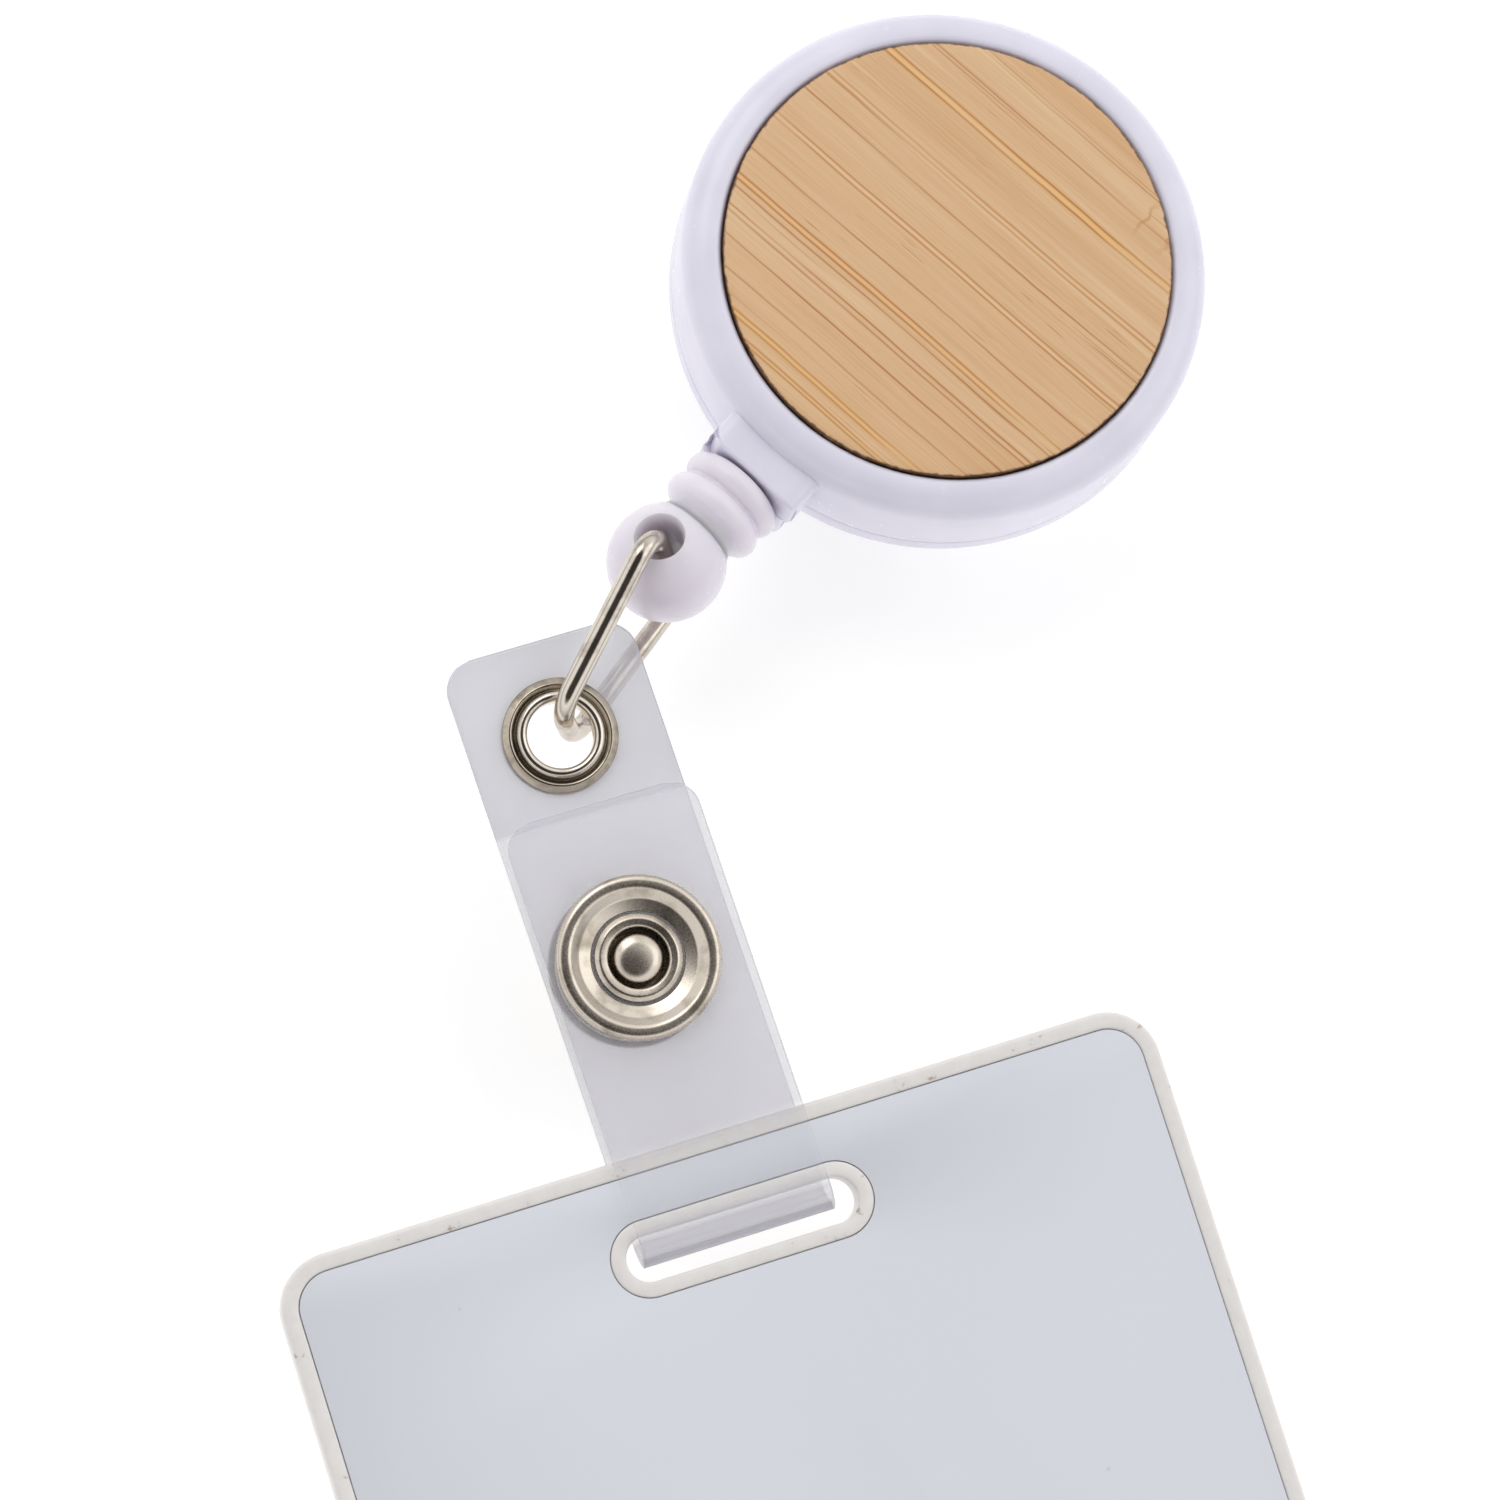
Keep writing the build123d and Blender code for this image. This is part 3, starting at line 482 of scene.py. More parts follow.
def clear_vinyl(name, colour, share):
    """Clear flexible PVC with a slight frost, glossy, with soft marks from handling. The frost
    clears where the flap lies against the card, and is strongest at the fold and at the single
    leaf round the eyelet. The zones lie across the strap, between heights in millimetres."""
    made, tree, shader = material(name, colour, 0.2, IOR=1.53, Alpha=0.33 * share)
    place = millimetres(tree)
    y = add(tree, "SeparateXYZ", {"Vector": place}, out=1)
    flap, fold, single = [
        add(tree, "MapRange", {"Value": y, "From Min": below, "From Max": above,
                               "To Min": at_below, "To Max": at_above})
        for below, above, at_below, at_above in (
            (-46.1, -45.3, 0.07, 0.31), (-50.4, -49.8, 0.28, 0.0), (-25.5, -25.2, 0.0, 0.2))]
    cloud = add(tree, "TexNoise", {"Vector": place, "Scale": 0.25, "Detail": 2.0})
    drift = add(tree, "MapRange", {"Value": cloud, "To Min": 0.9 * share, "To Max": 1.1 * share})
    whole = add(tree, "Math", {0: add(tree, "Math", {0: flap, 1: fold}), 1: single})
    frost = add(tree, "Math", {0: whole, 1: drift}, operation="MULTIPLY")
    tree.links.new(frost, shader.inputs["Alpha"])
    marks = add(tree, "TexNoise", {"Vector": place, "Scale": 0.5, "Detail": 3.0, "Roughness": 0.6})
    shine = add(tree, "MapRange", {"Value": marks, "To Min": 0.12, "To Max": 0.3})
    tree.links.new(shine, shader.inputs["Roughness"])
    bend = add(tree, "TexNoise", {"Vector": place, "Scale": 0.12, "Detail": 1.0})
    wavy = add(tree, "Bump", {"Height": bend, "Distance": 0.12 * MM, "Strength": 0.5})
    tree.links.new(wavy, shader.inputs["Normal"])
    return made


def card_sheet():
    """Plain printed PVC face sheet of the card: pale blue-grey, a soft gloss, and a little lint."""
    made, tree, shader = material("pvc_face_sheet", "#dde0e7", 0.5, Specular_IOR_Level=0.3)
    place = millimetres(tree)
    lint = add(tree, "TexVoronoi", {"Vector": place, "Scale": 0.16})
    dots = add(tree, "Math", {0: lint, 1: 0.018}, operation="LESS_THAN")
    faint = add(tree, "Math", {0: dots, 1: 0.5}, operation="MULTIPLY")
    cloud = add(tree, "TexNoise", {"Vector": place, "Scale": 0.03, "Detail": 1.0})
    tone = add(tree, "ValToRGB", {"Fac": cloud}, stops=((0.3, "#dbdee5"), (0.7, "#e1e4eb")))
    colour = add(tree, "Mix", {0: faint, 6: tone, 7: linear("#c3c6cc")}, out=2, data_type="RGBA")
    tree.links.new(colour, shader.inputs["Base Color"])
    fine = add(tree, "TexNoise", {"Vector": place, "Scale": 3.0, "Detail": 2.0})
    satin = add(tree, "Bump", {"Height": fine, "Distance": 0.004 * MM, "Strength": 0.3})
    tree.links.new(satin, shader.inputs["Normal"])
    return made


def braided(name, dark, light, strand_mm):
    """Braided nylon cord: two crossing sets of strands, drawn from stripes a strand apart, with
    painted shade in the valleys between the strands.
    """
    made, tree, shader = material(name, light, 0.6, Sheen_Weight=0.2)
    x = add(tree, "SeparateXYZ", {"Vector": millimetres(tree)})
    strands = []
    for way in ("ADD", "SUBTRACT"):
        across = add(tree, "Math", {0: x, 1: x.node.outputs[2]}, operation=way)
        turn = add(tree, "Math", {0: across, 1: 2 * pi / strand_mm}, operation="MULTIPLY")
        strands.append(add(tree, "Math", {0: turn}, operation="SINE"))
    upper = add(tree, "Math", {0: strands[0], 1: strands[1]}, operation="MAXIMUM")
    weave = add(tree, "Math", {0: upper, 1: 0.5, 2: 0.5}, operation="MULTIPLY_ADD")
    # Painted shade: the valleys between the strands take the dark colour, the strand tops the light
    # one.
    shade = add(tree, "ValToRGB", {"Fac": weave}, stops=((0.2, dark), (0.7, light)))
    tree.links.new(shade, shader.inputs["Base Color"])
    relief = add(tree, "Bump", {"Height": weave, "Distance": 0.05 * MM, "Strength": 0.6})
    tree.links.new(relief, shader.inputs["Normal"])
    return made


ABS = polished_moulding("white_abs_moulded", "#e2dfee", "#eae7f5", 0.1, 0.6)
MILKY = polished_moulding("white_polypropylene_moulded", "#e4dee8", "#ebe6ef", 0.6, 1.5)
BAMBOO = bamboo()
# The laser-charred rim of the bamboo: dark brown, uneven where the char is thin.
CHAR = mottled("bamboo_charred_edge", ((0.35, "#2a1813"), (0.6, "#4a2c1f"), (0.8, "#8a6040")),
               0.75, 1.1, 0.4, 0.02)
NICKEL = plated("nickel_plate_bright", "#a39a8d", "#d6cdc1", 0.13, 0.12)
STAMPED_NICKEL = plated("nickel_plate_stamped", "#a09688", "#d2c8bb", 0.26, 0.12)
# A darker and rougher copy of the bright nickel plate, used on the eyelet's ring.
DARKER_NICKEL = plated("nickel_plate_darker", "#7d7467", "#b5ab9c", 0.2, 0.12)
CLIP_NICKEL = plated("nickel_plate_steel_strip", "#8f8478", "#c9c3bb", 0.24, 0.5)
SPRING = plated("spring_steel_blued", "#4d4d52", "#7c7a78", 0.35, 0.3)
VINYL = clear_vinyl("pvc_clear_frosted", "#dad9e1", 1.0)
VINYL_EDGE = clear_vinyl("pvc_clear_cut_edge", "#c3c2cc", 1.6)
# Satin cream moulding of the card, with brown specks caught on it.
CREAM = mottled("cream_abs_satin", ((0.25, "#b9ac9c"), (0.33, "#e9e5e2"), (0.8, "#efece9")),
                0.42, 0.9, 0.5, 0.015)
SHEET = card_sheet()
# The darker colour of the braid is painted shade for the valleys between its strands.
NYLON = braided("nylon_braid_white", "#a9a7b0", "#d9d7de", 0.5)
ACETAL = mottled("acetal_natural", ((0.3, "#d8d8d2"), (0.7, "#e4e4de")),
                 0.4, 2.5, 0.3, 0.02)
FOAM_TAPE = mottled("acrylic_foam_tape", ((0.3, "#dcd9cf"), (0.7, "#e8e5dc")),
                    0.8, 2.5, 0.15, 0.02)


def dress(made, *materials):
    """Gives an object its material slots, in order."""
    made.data.materials.clear()
    for one in materials:
        made.data.materials.append(one)


def fit(made, body, node, slot, *materials):
    """Dresses a piece, puts it under its body and hides the CAD node it stands for. Its slot is not
    used.
    """
    dress(made, *materials)
    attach(made, body)
    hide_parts(node)


# ------------------------------------------------ case
def casing_front():
    """Front shell: a profile turned about the case's axis, with a shallow recess that has a
    soft lip."""
    inner = CASE_R - WALL
    recess = BAMBOO_R + 0.05
    profile = rounded(
        [(0, RECESS_Z - CEILING), (inner, RECESS_Z - CEILING), (inner, SEAM_Z), (CASE_R, SEAM_Z),
         (CASE_R, FRONT_Z), (recess, FRONT_Z), (recess, RECESS_Z), (0, RECESS_Z)],
        [0, 0.3, 0, 0.12, 1.6, 0.5, 0.08, 0], steps=10)
    return turned(profile, (0, 0, 0), UP, 192)


def mouth_outline(angle):
    """Distance from the cord to the block's edge in each direction: a superellipse, (x / half
    width) to a high power plus (z / half height) to the same power is one. It is lower and a
    little to the right in front of the seam, taller and narrower behind it."""
    front_half = np.sin(angle) > 0
    half_w = np.where(front_half, np.where(np.cos(angle) > 0, 3.7, 3.15), 3.3)
    half_h = np.where(front_half, 2.95, 3.4)
    power = 9.0
    across = np.abs(np.cos(angle) / half_w) ** power
    upward = np.abs(np.sin(angle) / half_h) ** power
    return (across + upward) ** (-1 / power)


def mouth_face(x, z):
    """How far out the block's face stands: the front half's face turns round a wide corner on
    the left and a tight one on the right, and the rear half stands a hair further out."""
    front_half = np.clip(z / 0.06 + 0.5, 0, 1)
    stand = MOUTH_FACE + 0.03 - 0.06 * front_half
    corner = np.where(x < 0, 0.35 + 0.75 * front_half, 0.3)
    wide = np.where(x < 0, 3.3 - 0.15 * front_half, 3.3 + 0.4 * front_half)
    turn = np.clip(corner - (wide - np.abs(x)), 0, corner)
    return stand - (corner - np.sqrt(corner**2 - turn**2))


def mouth_block():
    """Mouth block: rings round the cord bore, carried from the bore over the outer face and back
    into the case, with a fine groove where its two halves meet."""
    angle = np.linspace(0, 2 * pi, 360, endpoint=False) + 1e-4
    edge = mouth_outline(angle)
    groove = np.exp(-((np.sin(angle) * edge) / 0.07) ** 2)
    bore, lip, soft = 0.75, 0.9, 0.16
    # Each ring is its radius, its distance out, and how far it stands back from the face where
    # that distance is None.
    rings = [(bore + 0 * edge, MOUTH_ROOT, 0), (bore + 0 * edge, MOUTH_FACE - 0.6, 0),
             (0.78 + 0 * edge, None, -0.12), (lip + 0 * edge, None, 0.0)]
    rings += [(lip + (edge - soft - lip) * t, None, 0.0) for t in np.linspace(0, 1, 12)[1:]]
    rings += [(edge - soft + soft * sin(t), None, soft * cos(t) - soft)
              for t in np.linspace(0, pi / 2, 5)[1:]]
    rings += [(edge, s, 0) for s in (MOUTH_FACE - soft - 0.12, 16.4, 15.4, MOUTH_ROOT)]
    shape = []
    for radius, s, back in rings:
        radius = radius - 0.07 * groove * np.clip(radius - 2.0, 0, 1)
        x, z = radius * np.cos(angle), radius * np.sin(angle)
        shape.append(on_neck(mouth_face(x, z) + back if s is None else s + 0 * x, x, z))
    return grid(np.stack(shape, 1), close_u=True, close_v=True)


def casing_rear():
    """Rear shell: floor, low wall, the spigot that the front shell presses over, and the hollow
    post."""
    spigot = CASE_R - WALL - 0.03
    post_top = RECESS_Z - CEILING - 0.8
    bore = 1.2
    profile = rounded(
        [(bore, BACK_Z), (CASE_R, BACK_Z), (CASE_R, SEAM_Z), (spigot, SEAM_Z),
         (spigot, SEAM_Z + SPIGOT_HEIGHT), (spigot - 0.8, SEAM_Z + SPIGOT_HEIGHT),
         (spigot - 0.8, BACK_Z + FLOOR), (POST_R, BACK_Z + FLOOR), (POST_R, post_top),
         (bore, post_top)],
        [0, 0.8, 0.12, 0, 0.15, 0.15, 0.2, 0.2, 0.15, 0.1], steps=6, closed=True)
    return turned(profile, (0, 0, 0), UP, 192, closed=True)


front = piece("front_shell", casing_front(), mouth_block())
fit(front, "case", "front_casing", "case_plastic", ABS)

rear = piece("rear_shell", casing_rear())
fit(rear, "case", "rear_casing", "case_plastic", ABS)


def ragged(angle):
    """A laser-cut rim that wanders by a few hundredths of a millimetre."""
    wander = np.sin(7 * angle + 0.6) * np.sin(13 * angle) + 0.5 * np.sin(31 * angle)
    return 1 - 0.0012 * (1 + wander)


top_rings = [(r, BAMBOO_TOP) for r in np.linspace(0, BAMBOO_R - 0.08, 24)]
side_rings = [(BAMBOO_R - 0.08, BAMBOO_TOP), (BAMBOO_R, BAMBOO_TOP - 0.03),
              (BAMBOO_R - 0.02, BAMBOO_BOTTOM), (0, BAMBOO_BOTTOM)]
inlay = piece("bamboo_inlay", turned(top_rings, (0, 0, 0), UP, 240, wobble=ragged),
              turned(side_rings, (0, 0, 0), UP, 240, material=1, wobble=ragged), sharp=50)
fit(inlay, "case", "bamboo_disc", "bamboo", BAMBOO, CHAR)


# ------------------------------------------------ belt clip and its rivet
def clip_strip():
    """Steel strip: a side outline along the neck, carried across the strip's width."""
    axis_z = BACK_Z / 2
    half_steel = CLIP_STEEL / 2
    bend_r = axis_z - half_steel
    turn = np.linspace(pi / 2, 3 * pi / 2, 24)
    bend = np.stack([-CLIP_END + bend_r * np.cos(turn), axis_z + bend_r * np.sin(turn)], -1)
    plate = [(CLIP_END, BACK_Z - half_steel), (-CLIP_END, BACK_Z - half_steel)]
    nip = BACK_Z - CLIP_STEEL - 0.5 - half_steel
    tongue = rounded([(-CLIP_END, half_steel), (3.0, half_steel), (9.0, nip),
                      (CLIP_END, axis_z - CLIP_STEEL)], [0, 6, 1.2, 0], 10)
    path = spaced(np.vstack([plate, bend[1:-1], tongue]), 0.5)
    run = np.r_[0, np.cumsum(np.linalg.norm(np.diff(path, axis=0), axis=1))]
    end = np.minimum(run, run[-1] - run)
    corner = 2.0
    drop = np.clip(corner - end, 0, corner)
    half = CLIP_HALF - corner + np.sqrt(corner**2 - drop**2)
    across = np.linspace(-1, 1, 21)
    points = on_neck(path[:, None, 0], half[:, None] * across, path[:, None, 1] - CORD_Z)
    return grid(points)


clip = piece("belt_clip_strip", clip_strip(), sharp=60)
thick = clip.modifiers.new("thickness", "SOLIDIFY")
thick.thickness = CLIP_STEEL * MM
thick.offset = 0
soft = clip.modifiers.new("edge", "BEVEL")
soft.width = 0.08 * MM
soft.segments = 2
dress(clip, CLIP_NICKEL)
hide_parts("belt_clip_plate", "belt_clip_tongue")
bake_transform(clip)

rivet_low, rivet_high = node_box("clip_rivet")
HEAD_R, SHANK_R, HEAD_HEIGHT = 2.5, 1.15, 0.5
rivet_profile = rounded(
    [(0, rivet_low[2]), (HEAD_R, rivet_low[2]), (HEAD_R, rivet_low[2] + HEAD_HEIGHT),
     (SHANK_R, rivet_low[2] + HEAD_HEIGHT), (SHANK_R, rivet_high[2]), (0, rivet_high[2])],
    [0, 0.3, 0.05, 0, 0.1, 0])
rivet = piece("rivet", turned(rivet_profile, (0, 0, 0), UP, 64))
fit(rivet, "case", "clip_rivet", "clip_steel", CLIP_NICKEL)


# ------------------------------------------------ cord and its end fitting
def ball_bead():
    """The ball with its cross hole: a sphere's arc joined to a bore that flares at both mouths,
    turned about the hole."""
    bore, flare = 1.3, 0.25
    mouth = bore + flare
    height = sqrt(BALL_R**2 - mouth**2)
    start = np.arctan2(height, mouth)
    arc = np.linspace(start, -start, 64)
    outside = np.stack([BALL_R * np.cos(arc), BALL_R * np.sin(arc)], -1)
    h = np.linspace(-height, height, 48)[1:-1]
    inside = np.stack([bore + flare * np.abs(h / height) ** 7, h], -1)
    return np.vstack([outside, inside])


HOLE_ROLL = radians(19)
hole_axis = -sin(HOLE_ROLL) * NECK_SIDE + cos(HOLE_ROLL) * UP


def ribbed_neck():
    """Two ribs of round section on a core, then a saddle that swells into the ball, turned about
    the neck."""
    core, rib, pitch = 2.45, 0.82, 1.7
    points = [(0, FITTING_S), (core - 0.35, FITTING_S)]
    for k in range(2):
        centre = FITTING_S + rib + k * pitch
        turn = np.linspace(pi if k == 0 else 0.86 * pi, 0.14 * pi, 22)
        points += [(core + rib * sin(t), centre + rib * cos(t)) for t in turn]
    # A cubic saddle from the last rib to a tangent on the ball.
    t = np.linspace(0, 1, 14)[1:]
    r0, s0 = points[-1]
    back = 2.4
    s1 = BALL_S - back
    r1 = sqrt(BALL_R**2 - back**2)
    span = s1 - s0
    radius = (2 * t**3 - 3 * t**2 + 1) * r0 + (3 * t**2 - 2 * t**3) * r1
    radius += (t**3 - 2 * t**2 + t) * span * -1.7 + (t**3 - t**2) * span * back / r1
    points += list(zip(radius, s0 + span * t))
    points += [(r1 - 0.5, s1 + 0.3), (0, s1 + 0.3)]
    return points


fitting = piece("cord_fitting", turned(ball_bead(), BALL, hole_axis, 128, closed=True),
                turned(ribbed_neck(), (0, 0, CORD_Z), NECK, 128))
fit(fitting, "cord_end", "cord_end_fitting", "case_plastic", MILKY)

cord_s = np.linspace(CASE_R - WALL, FITTING_S + 0.9, 160)
cord_path = on_neck(cord_s, 0.0, 0.0)
angles = np.linspace(0, 2 * pi, 16, endpoint=False)
cord_ring = on_neck(cord_s[:, None], CORD_R * np.cos(angles), CORD_R * np.sin(angles))
cord = piece("cord_run", grid(cord_ring, close_v=True), cap(cord_path[0], cord_ring[0]),
             cap(cord_path[-1], cord_ring[-1]))
dress(cord, NYLON)
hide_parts("cord_lead")
tuple(on_neck(14.8, 0, 0) * MM)
tuple(on_neck(FITTING_S, 0, 0) * MM)
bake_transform(cord)


# ------------------------------------------------ wire link
def link_path():
    """A closed loop: straight through the ball, two legs that draw together, and a round bend in
    the eyelet."""
    ball_half, eye_half = 4.75, 2.1
    flat = rounded([(0, -ball_half), (0, ball_half), (LINK_LENGTH, eye_half),
                    (LINK_LENGTH, -eye_half)], [1.6, 1.6, 1.9, 1.9], 16, True)
    flat = spaced(flat, 0.4, closed=True)
    return BALL + flat[:, :1] * LINK_ALONG + flat[:, 1:] * LINK_ACROSS


link = piece("wire_loop", tube(link_path(), WIRE_R, 28, closed=True), sharp=80)
fit(link, "link", "wire_link", "nickel", NICKEL)

# ------------------------------------------------ strap
LEAF = 0.5
GAP = 2.1
FOLD_R = (GAP + 2 * LEAF) / 2 - LEAF / 2
STRAP_HALF = 5.85
STRAP_LEAN = -0.022
STRAP_SIDE = 0.3
STRAP_TOP = 5.8
FLAP_END = -4.7
SNAP_V = -14.1
fold_v = strap_v_of(HINGE)
FLAP_H = LEAF + GAP
FLAP_TOP = FLAP_H + LEAF / 2


def strap_leaves():
    """The strap's middle surface, cut in two at the outermost line of its fold: up the rear leaf,
    round the fold and along the flap, with both ends rounded and holes punched for the eyelet and
    the snap. It leans to one side by STRAP_LEAN times the height."""
    turn = np.linspace(-pi / 2, -3 * pi / 2, 26)
    fold = np.stack([fold_v + FOLD_R * np.cos(turn), FLAP_H / 2 + FOLD_R * np.sin(turn)], -1)
    path = np.vstack([[(STRAP_TOP, 0.0), (fold_v, 0.0)], fold[1:-1],
                      [(fold_v, FLAP_H), (FLAP_END, FLAP_H)]])
    path = spaced(path, 0.22)
    run = np.r_[0, np.cumsum(np.linalg.norm(np.diff(path, axis=0), axis=1))]
    back = run[-1] - run
    half = np.full_like(run, STRAP_HALF)
    for away, corner in ((run, 1.9), (back, 1.7)):
        drop = np.clip(corner - away, 0, corner)
        half = np.minimum(half, STRAP_HALF - corner + np.sqrt(corner**2 - drop**2))
    across = np.linspace(-1, 1, 53)
    v = np.broadcast_to(path[:, None, 0], (len(path), len(across)))
    u = half[:, None] * across + STRAP_SIDE + STRAP_LEAN * v
    h = np.broadcast_to(path[:, None, 1], u.shape)
    # Each hole is its height on the strap, its radius and the level of its leaf.
    holes = ((0.0, 2.27, 0.0), (SNAP_V, 1.95, 0.0), (SNAP_V, 2.12, FLAP_H))

    def kept(centres):
        local = centres - EYE
        cu, cv, ch = local @ STRAP_U, local @ STRAP_V, local @ STRAP_N
        keep = np.ones(len(cu), bool)
        for hole_v, radius, level in holes:
            keep &= ~((np.hypot(cu, cv - hole_v) < radius) & (np.abs(ch - level) < 0.4))
        return keep

    outermost = int(np.argmin(path[:, 0]))
    points = on_strap(u, v, h)
    return grid(points[:outermost + 1], keep=kept), grid(points[outermost:], keep=kept)


strap_shell, flap_shell = strap_leaves()
for name, node, shell in (("vinyl_strap", "strap_rear_leaf", strap_shell),
                          ("vinyl_flap", "strap_front_flap", flap_shell)):
    leaf = piece(name, shell, sharp=80)
    thick = leaf.modifiers.new("thickness", "SOLIDIFY")
    thick.thickness = LEAF * MM
    thick.offset = 0
    thick.material_offset_rim = 1
    dress(leaf, VINYL, VINYL_EDGE)
    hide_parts(node)
    if name == "vinyl_strap":
        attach(leaf, "strap")
    else:
        tuple(on_strap(0, fold_v - 0.45, FLAP_H) * MM)
        tuple(on_strap(0, fold_v + 0.3, FLAP_H) * MM)
        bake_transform(leaf)


# ------------------------------------------------ eyelet and press snap
def strap_turned(name, body, node, v, finish, corners, radii, closed=True):
    """A metal piece turned about the strap's normal at height v, from (radius, h) corners."""
    shell = turned(rounded(corners, radii, 8, closed), on_strap(0.0, v, 0.0), STRAP_N, 112,
                   closed=closed)
    fit(piece(name, shell, sharp=45), body, node, "nickel", finish)


half_leaf = LEAF / 2
strap_turned("eyelet_tube", "strap", "eyelet_barrel", 0.0, NICKEL,
             [(2.0, 1.0), (2.62, 1.0), (2.62, 0.5), (2.25, 0.5), (2.25, -0.25), (3.45, -0.25),
              (3.45, -0.6), (2.0, -0.6)],
             [0.3, 0.3, 0, 0, 0, 0.08, 0.2, 0.32])
strap_turned("eyelet_ring", "strap", "eyelet_washer", 0.0, DARKER_NICKEL,
             [(2.25, 0.25), (3.45, 0.25), (3.47, 0.5), (3.0, 0.8), (2.72, 0.5), (2.25, 0.5)],
             [0, 0.04, 0.12, 0.16, 0.05, 0])
strap_turned("snap_front_ring", "flap", "snap_ring", SNAP_V, STAMPED_NICKEL,
             [(2.8, FLAP_TOP), (4.85, FLAP_TOP), (4.9, FLAP_TOP + 0.8), (4.1, FLAP_TOP + 0.78),
              (3.5, FLAP_TOP + 0.3), (2.8, FLAP_TOP + 0.06)],
             [0.02, 0.1, 0.42, 0.45, 0.5, 0.02])
strap_turned("snap_socket_body", "flap", "snap_socket", SNAP_V, STAMPED_NICKEL,
             [(1.8, 0.66), (4.6, 0.66), (4.6, 2.34), (2.1, 2.34), (2.1, FLAP_TOP),
              (2.6, FLAP_TOP), (2.62, FLAP_TOP + 0.22), (2.3, FLAP_TOP + 0.42),
              (1.8, FLAP_TOP + 0.34)],
             [0.1, 0.4, 0.4, 0, 0, 0.05, 0.12, 0.25, 0.2])
strap_turned("snap_stud_body", "strap", "snap_stud", SNAP_V, STAMPED_NICKEL,
             [(0, half_leaf), (4.6, half_leaf), (4.6, half_leaf + 0.3), (1.48, half_leaf + 0.3),
              (1.48, FLAP_TOP + 0.1), (1.0, FLAP_TOP + 0.38), (0, FLAP_TOP + 0.5)],
             [0, 0.05, 0.12, 0.1, 0.35, 1.1, 0], closed=False)
strap_turned("snap_rear_ring", "strap", "snap_back_ring", SNAP_V, STAMPED_NICKEL,
             [(0, half_leaf), (1.8, half_leaf), (1.8, -half_leaf), (4.9, -half_leaf),
              (4.9, -half_leaf - 0.75), (3.6, -half_leaf - 0.75), (3.2, -half_leaf - 0.3),
              (0, -half_leaf - 0.3)],
             [0, 0, 0, 0.08, 0.36, 0.3, 0.2, 0], closed=False)

# ------------------------------------------------ badge card
CARD_W, CARD_H, CARD_T, CARD_CORNER = 54.0, 86.0, 1.8, 3.2
SLOT_W, SLOT_H, BRIDGE = 14.2, 2.7, 4.55
CARD_BOTTOM = half_leaf + (GAP - CARD_T) / 2
slot_u = float((SLOT_CENTRE - EYE) @ STRAP_U)
slot_v = strap_v_of(SLOT_CENTRE)
card_v = slot_v + SLOT_H / 2 + BRIDGE - CARD_H / 2
corner_turn = np.linspace(0, pi / 2, 14)


def outline(half_w, half_h, corner, centre_v):
    """A rounded rectangle as dense points, as seen from the slot's centre."""
    points = []
    for quarter, (su, sv) in enumerate(((1, 1), (-1, 1), (-1, -1), (1, -1))):
        turn = corner_turn + quarter * pi / 2
        points.append(np.stack([su * (half_w - corner) + corner * np.cos(turn),
                                centre_v + sv * (half_h - corner) + corner * np.sin(turn)], -1))
    return spaced(np.vstack(points), 0.5, closed=True)


def reach(points, bearing):
    """Distance to an outline in each bearing from the slot's centre: where the ray crosses the
    side from a to b, (a cross side) over (ray cross side)."""
    angle = np.arctan2(points[:, 1], points[:, 0])
    order = np.argsort(angle)
    angle, points = angle[order], points[order]
    angle = np.r_[angle[-1] - 2 * pi, angle, angle[0] + 2 * pi]
    points = np.vstack([points[-1:], points, points[:1]])
    k = np.clip(np.searchsorted(angle, bearing), 1, len(angle) - 1)
    a, b = points[k - 1], points[k]
    side = b - a
    return (a[:, 0] * side[:, 1] - a[:, 1] * side[:, 0]) / (
        np.cos(bearing) * side[:, 1] - np.sin(bearing) * side[:, 0])


def slot_line(grow):
    half_h = SLOT_H / 2 + grow
    return outline(SLOT_W / 2 + grow, half_h, half_h - 0.001, 0.0)


def edge_line(inset):
    corner = max(CARD_CORNER - inset, 0.3)
    return outline(CARD_W / 2 - inset, CARD_H / 2 - inset, corner, card_v - slot_v)


bearings = np.unique(np.round(np.concatenate(
    [np.arctan2(line[:, 1], line[:, 0])
     for line in (slot_line(0.0), slot_line(0.9), edge_line(0), edge_line(1.0))]), 4))


def card_shell(rings):
    """A closed plate with a slot: each ring is an outline at a height, joined to the next."""
    layers = []
    for line, height in rings:
        distance = reach(line, bearings)
        layers.append(on_strap(slot_u + distance * np.cos(bearings),
                               slot_v + distance * np.sin(bearings), CARD_BOTTOM + height))
    return grid(np.stack(layers, 1), close_u=True, close_v=True)


POCKET = CARD_T - 0.36
SHEET_TOP = POCKET + 0.3
ROUND = 0.3
tray_rings = [
    (slot_line(0.0), 0.15), (slot_line(0.0), CARD_T - 0.16), (slot_line(0.05), CARD_T - 0.05),
    (slot_line(0.16), CARD_T), (slot_line(0.76), CARD_T), (slot_line(0.86), CARD_T - 0.05),
    (slot_line(0.9), CARD_T - 0.14), (slot_line(0.9), POCKET), (edge_line(1.0), POCKET),
    (edge_line(1.0), CARD_T - 0.14), (edge_line(0.95), CARD_T - 0.04), (edge_line(0.86), CARD_T)]
tray_rings += [(edge_line(ROUND - ROUND * sin(t)), CARD_T - ROUND + ROUND * cos(t))
               for t in np.linspace(0, pi / 2, 6)]
tray_rings += [(edge_line(ROUND - ROUND * cos(t)), ROUND - ROUND * sin(t))
               for t in np.linspace(0, pi / 2, 6)]
tray_rings += [(slot_line(0.15), 0.0)]
tray = piece("card_tray_moulding", card_shell(tray_rings), sharp=50)
fit(tray, "card", "card_tray", "card_plastic", CREAM)

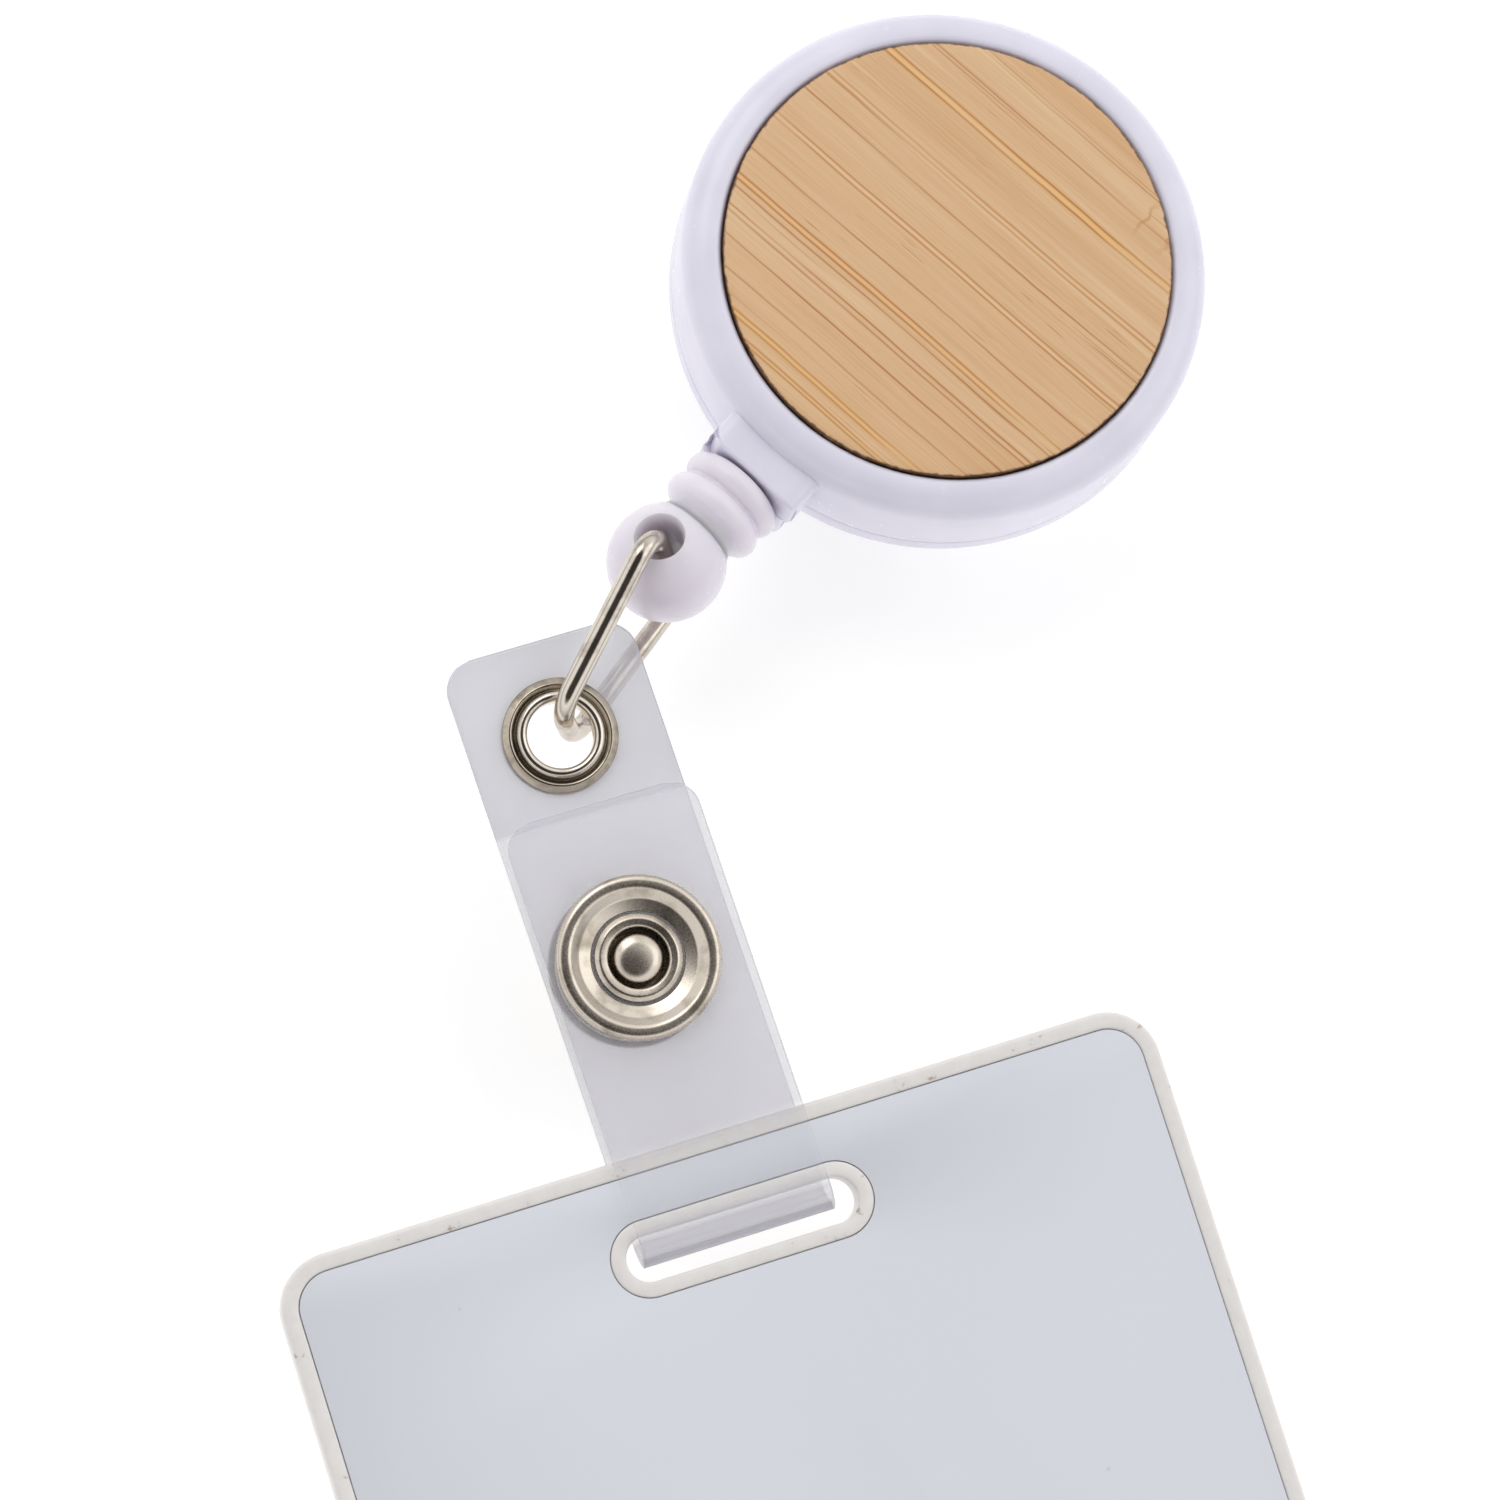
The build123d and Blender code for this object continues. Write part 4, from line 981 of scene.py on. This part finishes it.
face_rings = [(slot_line(0.96), POCKET), (slot_line(0.96), SHEET_TOP - 0.03),
              (slot_line(1.0), SHEET_TOP), (edge_line(1.1), SHEET_TOP),
              (edge_line(1.06), SHEET_TOP - 0.03), (edge_line(1.06), POCKET)]
face = piece("card_face_sheet", card_shell(face_rings), sharp=50)
fit(face, "card", "card_face", "card_panel", SHEET)

# ------------------------------------------------ finishes of the pieces kept from the CAD
for names, finish in (
    (("spool", "spool_cover"), ACETAL),
    (("mainspring",), SPRING),
    (("cord_winding", "cord_feed", "cord_knot"), NYLON),
    (("disc_adhesive",), FOAM_TAPE),
):
    for name in names:
        dress(frame["nodes"][name], finish)

# ------------------------------------------------ floor, light and camera
floor_mesh = bpy.data.meshes.new("floor")
half_m = 3.0
floor_mesh.from_pydata([(-half_m, -half_m, 0), (half_m, -half_m, 0), (half_m, half_m, 0),
                        (-half_m, half_m, 0)], [], [(0, 1, 2, 3)])
floor = bpy.data.objects.new("floor", floor_mesh)
bpy.context.scene.collection.objects.link(floor)
# The floor lies a twentieth of a millimetre under the clip, so the two faces don't flicker.
floor.location.z = -0.05 * MM
FLOOR_PAINT = material("light_table_white", "#c8c8c8", 0.9, Emission_Strength=0.58)[0]
FLOOR_PAINT.node_tree.nodes["Principled BSDF"].inputs["Emission Color"].default_value = (1, 1, 1, 1)
dress(floor, FLOOR_PAINT)

scene = bpy.context.scene
scene.view_settings.view_transform = "Standard"


def studio_world():
    """A white room with a dark patch of ceiling overhead, which gives the metal its dark lines."""
    world = bpy.data.worlds.new("studio")
    world.use_nodes = True
    tree = world.node_tree
    heading = add(tree, "TexCoord", out="Generated")
    overhead = Vector((-0.19, -0.21, 0.96)).normalized()
    facing = add(tree, "VectorMath", {0: heading, 1: overhead}, out="Value",
                 operation="DOT_PRODUCT")
    # The patch is full within 26 degrees of its middle, and fades out at 43.
    patch = add(tree, "MapRange", {"Value": facing, "From Min": cos(radians(43)),
                                   "From Max": cos(radians(26))},
                interpolation_type="SMOOTHSTEP")
    height = add(tree, "SeparateXYZ", {"Vector": heading}, out=2)
    wall = add(tree, "MapRange", {"Value": height, "From Min": 0.0, "From Max": 0.5},
               interpolation_type="SMOOTHSTEP")
    room = add(tree, "Mix", {0: wall, 6: (0.5, 0.5, 0.52, 1), 7: (1, 1, 1, 1)}, out=2,
               data_type="RGBA")
    colour = add(tree, "Mix", {0: patch, 6: room, 7: (0.05, 0.045, 0.045, 1)}, out=2,
                 data_type="RGBA")
    tree.links.new(colour, tree.nodes["Background"].inputs["Color"])
    tree.nodes["Background"].inputs["Strength"].default_value = 1.12
    return world


scene.world = studio_world()


def softbox(name, place, aim, size, power):
    """A square area light at place, in metres, facing aim."""
    data = bpy.data.lights.new(name, "AREA")
    data.size = size
    data.energy = power
    lamp = bpy.data.objects.new(name, data)
    lamp.location = place
    lamp.rotation_euler = (Vector(aim) - Vector(place)).to_track_quat("-Z", "Y").to_euler()
    scene.collection.objects.link(lamp)


STRAP_MIDDLE = (-0.02, -0.04, 0)
softbox("key", (-0.1, 0.45, 0.55), STRAP_MIDDLE, 0.4, 0.8)
softbox("fill", (0.5, -0.1, 0.5), STRAP_MIDDLE, 0.5, 0.4)

CAMERA_PLACE = Vector((-0.0846, -0.0837, 0.3214))
LOOK = Vector((0.1977, 0.1818, -0.9633)).normalized()
TOP = Vector((0.2784, 0.9318, 0.233))
camera_data = bpy.data.cameras.new("camera")
camera_data.lens = 132
camera_data.sensor_width = 36
camera_data.clip_start = 0.01
right = LOOK.cross(TOP).normalized()
top = right.cross(LOOK)
camera = bpy.data.objects.new("camera", camera_data)
turned_to_look = Matrix((right, top, -LOOK)).transposed().to_4x4()
camera.matrix_world = Matrix.Translation(CAMERA_PLACE) @ turned_to_look
scene.collection.objects.link(camera)
scene.camera = camera
